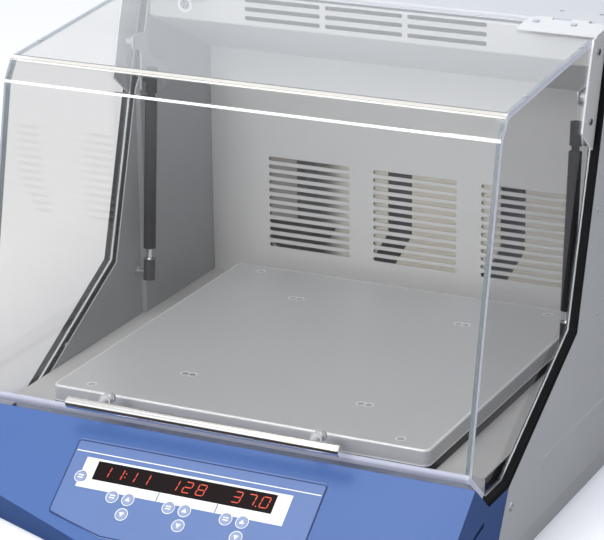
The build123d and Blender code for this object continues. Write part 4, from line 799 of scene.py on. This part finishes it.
class SHAKER_OT_key_marks(bpy.types.Operator):
    """White ring and arrow of each key"""
    bl_idname = "shaker.key_marks"
    bl_label = "Key marks"

    def execute(self, context):
        white = bpy.data.materials["screen_print_white"]
        high = FOIL_TOP + context.scene.shaker_print.print_height / MM
        for number, (x, down) in enumerate(KEY_PLACES, start=1):
            body = f"key_{number:02d}"
            ring = printed_ring(*(circle((x, down), radius) for radius in KEY_RING), FOIL_TOP, high)
            finish_piece(f"key_ring_{number:02d}", *ring, white, "base")
            if number in UP_KEYS + DOWN_KEYS:
                tip = ARROW_HALF if number in DOWN_KEYS else -ARROW_HALF
                tail = down - tip * 0.7
                marks = [[(x - ARROW_HALF, tail), (x + ARROW_HALF, tail), (x, down + tip)]]
            else:
                marks = [box_outline(x - MARK_HALF, x + MARK_HALF, down - MARK_FAR, down - MARK_NEAR),
                         box_outline(x - MARK_HALF, x + MARK_HALF, down + MARK_NEAR, down + MARK_FAR)]
            marks = printed_plates(turned_right(marks), KEY_FACE, KEY_FACE + INK)
            finish_piece(f"key_mark_{number:02d}", *marks, white, body)
        return {"FINISHED"}


class SHAKER_OT_display(bpy.types.Operator):
    """Lit seven-segment digits of the display"""
    bl_idname = "shaker.display"
    bl_label = "Display digits"

    def execute(self, context):
        glow = glowing_print("lit_segments_red_orange", linear("#C2452A"), context.scene.shaker_print.glow)
        for number, (text, left, pitch) in enumerate(READINGS, start=1):
            bars, dots = digit_bars(text, left, pitch, DIGIT_TOP)
            outlines = turned_right(bar_outlines(bars, DIGIT_STROKE))
            high = FOIL_TOP + DIGIT_RELIEF
            finish_piece(f"display_digits_{number}", *printed_plates(outlines, FOIL_TOP, high), glow, "base")
            if len(dots):
                spots = turned_right([circle(dot, DOT_RADIUS, 12) for dot in dots])
                finish_piece(f"display_dots_{number}", *printed_plates(spots, FOIL_TOP, high), glow, "base")
        return {"FINISHED"}


class SHAKER_OT_stage(bpy.types.Operator):
    """Pale floor, soft light and the camera"""
    bl_idname = "shaker.stage"
    bl_label = "Stage"

    def execute(self, context):
        stage = context.scene.shaker_stage
        pale_floor()
        white_room(stage.sky)
        soft_light("key_light", (-0.3, -2.4, 1.75), (0.0, 0.0, 0.2), 1.1, stage.key_power)
        soft_light("overhead_light", (-0.3, -0.45, 1.6), (0.0, 0.1, 0.2), 0.7, stage.top_power)
        camera = photo_camera(stage.lens)
        context.scene.camera = camera
        context.scene.view_settings.view_transform = "Standard"
        return {"FINISHED"}


CAMERA_PLACE = (1.1976, -2.4340, 1.2025)
CAMERA_ANGLES = (26.3, 19.3, -0.7)           # azimuth, height and roll, degrees
FLOOR_HALF, FLOOR_GLOW = 14.0, 0.45
STUDIO_POWER = 1.5                           # strength of the mirrored studio


def pale_floor():
    """A wide flat floor, white for the camera, with the object's soft shadow on it. Mirrored in metal and
    clear sheet it is a studio floor, pale on the left and grey towards the right."""
    material, tree, place = new_material("painted_floor_white")
    rays = add(tree, "ShaderNodeLightPath").outputs
    where = coordinates(tree, place)
    leftwards = ranged(tree, where["X"], 0.0, 1.0, start=-0.2, end=-0.8, smooth=True)
    backwards = ranged(tree, where["Y"], 0.0, 1.0, start=-0.8, end=-0.3, smooth=True)
    mirrored = blended(tree, maths(tree, "MULTIPLY", leftwards, backwards), linear("#403E3E"), linear("#DAD7D0"))
    painted = mottled(tree, place, linear("#E6E7E9"), 0.4, 0.01)
    diffuse = add(tree, "ShaderNodeBsdfDiffuse",
                  {"Roughness": 0.5, "Color": blended(tree, rays["Is Glossy Ray"], painted, mirrored)})
    direct = maths(tree, "MAXIMUM", rays["Is Camera Ray"], rays["Is Transmission Ray"])
    seen = add(tree, "ShaderNodeEmission",
               {"Color": linear("#EEF2FF"), "Strength": maths(tree, "MULTIPLY", direct, FLOOR_GLOW)})
    lit = add(tree, "ShaderNodeAddShader", {0: diffuse.outputs["BSDF"], 1: seen.outputs["Emission"]})
    surfaced(material, lit.outputs["Shader"])
    half = FLOOR_HALF
    corners = [(-half, -half, 0), (half, -half, 0), (half, half, 0), (-half, half, 0)]
    data = bpy.data.meshes.new("floor")
    data.from_pydata(corners, [], [(0, 1, 2, 3)])
    data.materials.append(material)
    floor = bpy.data.objects.new("floor", data)
    bpy.context.scene.collection.objects.link(floor)


def white_room(strength):
    """World: white where it is seen or looked through, a softer light on the object that is weaker from the
    right, and for mirrored rays a studio: dark low in front, a pale board over that, and a pale blue wall."""
    world = bpy.data.worlds.new("white_room")
    world.use_nodes = True
    bpy.context.scene.world = world
    tree = world.node_tree
    tree.nodes.clear()
    where = coordinates(tree, add(tree, "ShaderNodeTexCoord").outputs["Generated"])

    def background(colour, power):
        return add(tree, "ShaderNodeBackground", {"Color": colour, "Strength": power}).outputs["Background"]

    behind = ranged(tree, where["Y"], 0.0, 1.0, start=-0.2, end=0.5, smooth=True)
    horizon = ranged(tree, where["Z"], 0.0, 1.0, start=0.055, end=0.12, smooth=True)
    ceiling = ranged(tree, where["Z"], 1.0, 0.6, start=0.35, end=0.6, smooth=True)
    pale = maths(tree, "MAXIMUM", maths(tree, "MULTIPLY", horizon, ceiling), behind)
    studio = blended(tree, pale, (0.12, 0.12, 0.13, 1), (0.88, 0.94, 1.02, 1))
    even = ranged(tree, where["X"], strength * 1.12, strength * 0.55, start=-0.2, end=0.9, smooth=True)
    white = (1, 1, 1, 1)
    rays = add(tree, "ShaderNodeLightPath").outputs
    lit = mixed(tree, rays["Is Glossy Ray"], background(white, even), background(studio, STUDIO_POWER))
    looked = maths(tree, "MAXIMUM", rays["Is Camera Ray"], rays["Is Transmission Ray"])
    add(tree, "ShaderNodeOutputWorld", {"Surface": mixed(tree, looked, lit, background(white, 1.0))})


def soft_light(name, place, target, size, power):
    """A square area light that faces a target."""
    data = bpy.data.lights.new(name, "AREA")
    data.size = size
    data.energy = power
    light = bpy.data.objects.new(name, data)
    light.location = place
    light.rotation_mode = "QUATERNION"
    light.rotation_quaternion = (Vector(target) - Vector(place)).to_track_quat("-Z", "Y")
    bpy.context.scene.collection.objects.link(light)


def photo_camera(lens):
    """Camera at the photographed angle: azimuth, height and roll turn the view, then it is set in place."""
    azimuth, height, roll = (math.radians(angle) for angle in CAMERA_ANGLES)
    forward = Vector((-math.sin(azimuth) * math.cos(height), math.cos(azimuth) * math.cos(height), -math.sin(height)))
    right = Vector((math.cos(azimuth), math.sin(azimuth), 0))
    up = right.cross(forward)
    right, up = math.cos(roll) * right + math.sin(roll) * up, math.cos(roll) * up - math.sin(roll) * right
    data = bpy.data.cameras.new("camera")
    data.lens = lens
    data.sensor_width = SENSOR_WIDTH
    data.clip_end = 50
    camera = bpy.data.objects.new("camera", data)
    camera.matrix_world = Matrix((*zip(right, up, -forward, CAMERA_PLACE), (0, 0, 0, 1)))
    bpy.context.scene.collection.objects.link(camera)
    return camera


class SHAKER_PT_panel(bpy.types.Panel):
    """Sidebar panel that lists the pieces and their values"""
    bl_idname = "SHAKER_PT_panel"
    bl_label = "Shaker"
    bl_space_type = "VIEW_3D"
    bl_region_type = "UI"
    bl_category = "Shaker"

    def draw(self, context):
        for group in ("shaker_finish", "shaker_print", "shaker_stage"):
            values = getattr(context.scene, group)
            box = self.layout.box()
            for name in values.__annotations__:
                box.prop(values, name)
        for operator in OPERATORS:
            self.layout.operator(operator.bl_idname)


OPERATORS = (
    SHAKER_OT_stage, SHAKER_OT_housing, SHAKER_OT_wall_screws, SHAKER_OT_chamber, SHAKER_OT_platform,
    SHAKER_OT_drive, SHAKER_OT_hood, SHAKER_OT_keypad, SHAKER_OT_key_marks, SHAKER_OT_display,
)
GROUPS = {"shaker_finish": ShakerFinish, "shaker_print": ShakerPrint, "shaker_stage": ShakerStage}


def register():
    for name, group in GROUPS.items():
        bpy.utils.register_class(group)
        setattr(bpy.types.Scene, name, PointerProperty(type=group))
    for kind in (*OPERATORS, SHAKER_PT_panel):
        bpy.utils.register_class(kind)


def unregister():
    for kind in reversed((*OPERATORS, SHAKER_PT_panel)):
        bpy.utils.unregister_class(kind)
    for name, group in reversed(GROUPS.items()):
        delattr(bpy.types.Scene, name)
        bpy.utils.unregister_class(group)


def main():
    """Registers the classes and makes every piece."""
    register()
    for operator in OPERATORS:
        group, name = operator.bl_idname.split(".")
        getattr(getattr(bpy.ops, group), name)()


if __name__ == "__main__":
    main()
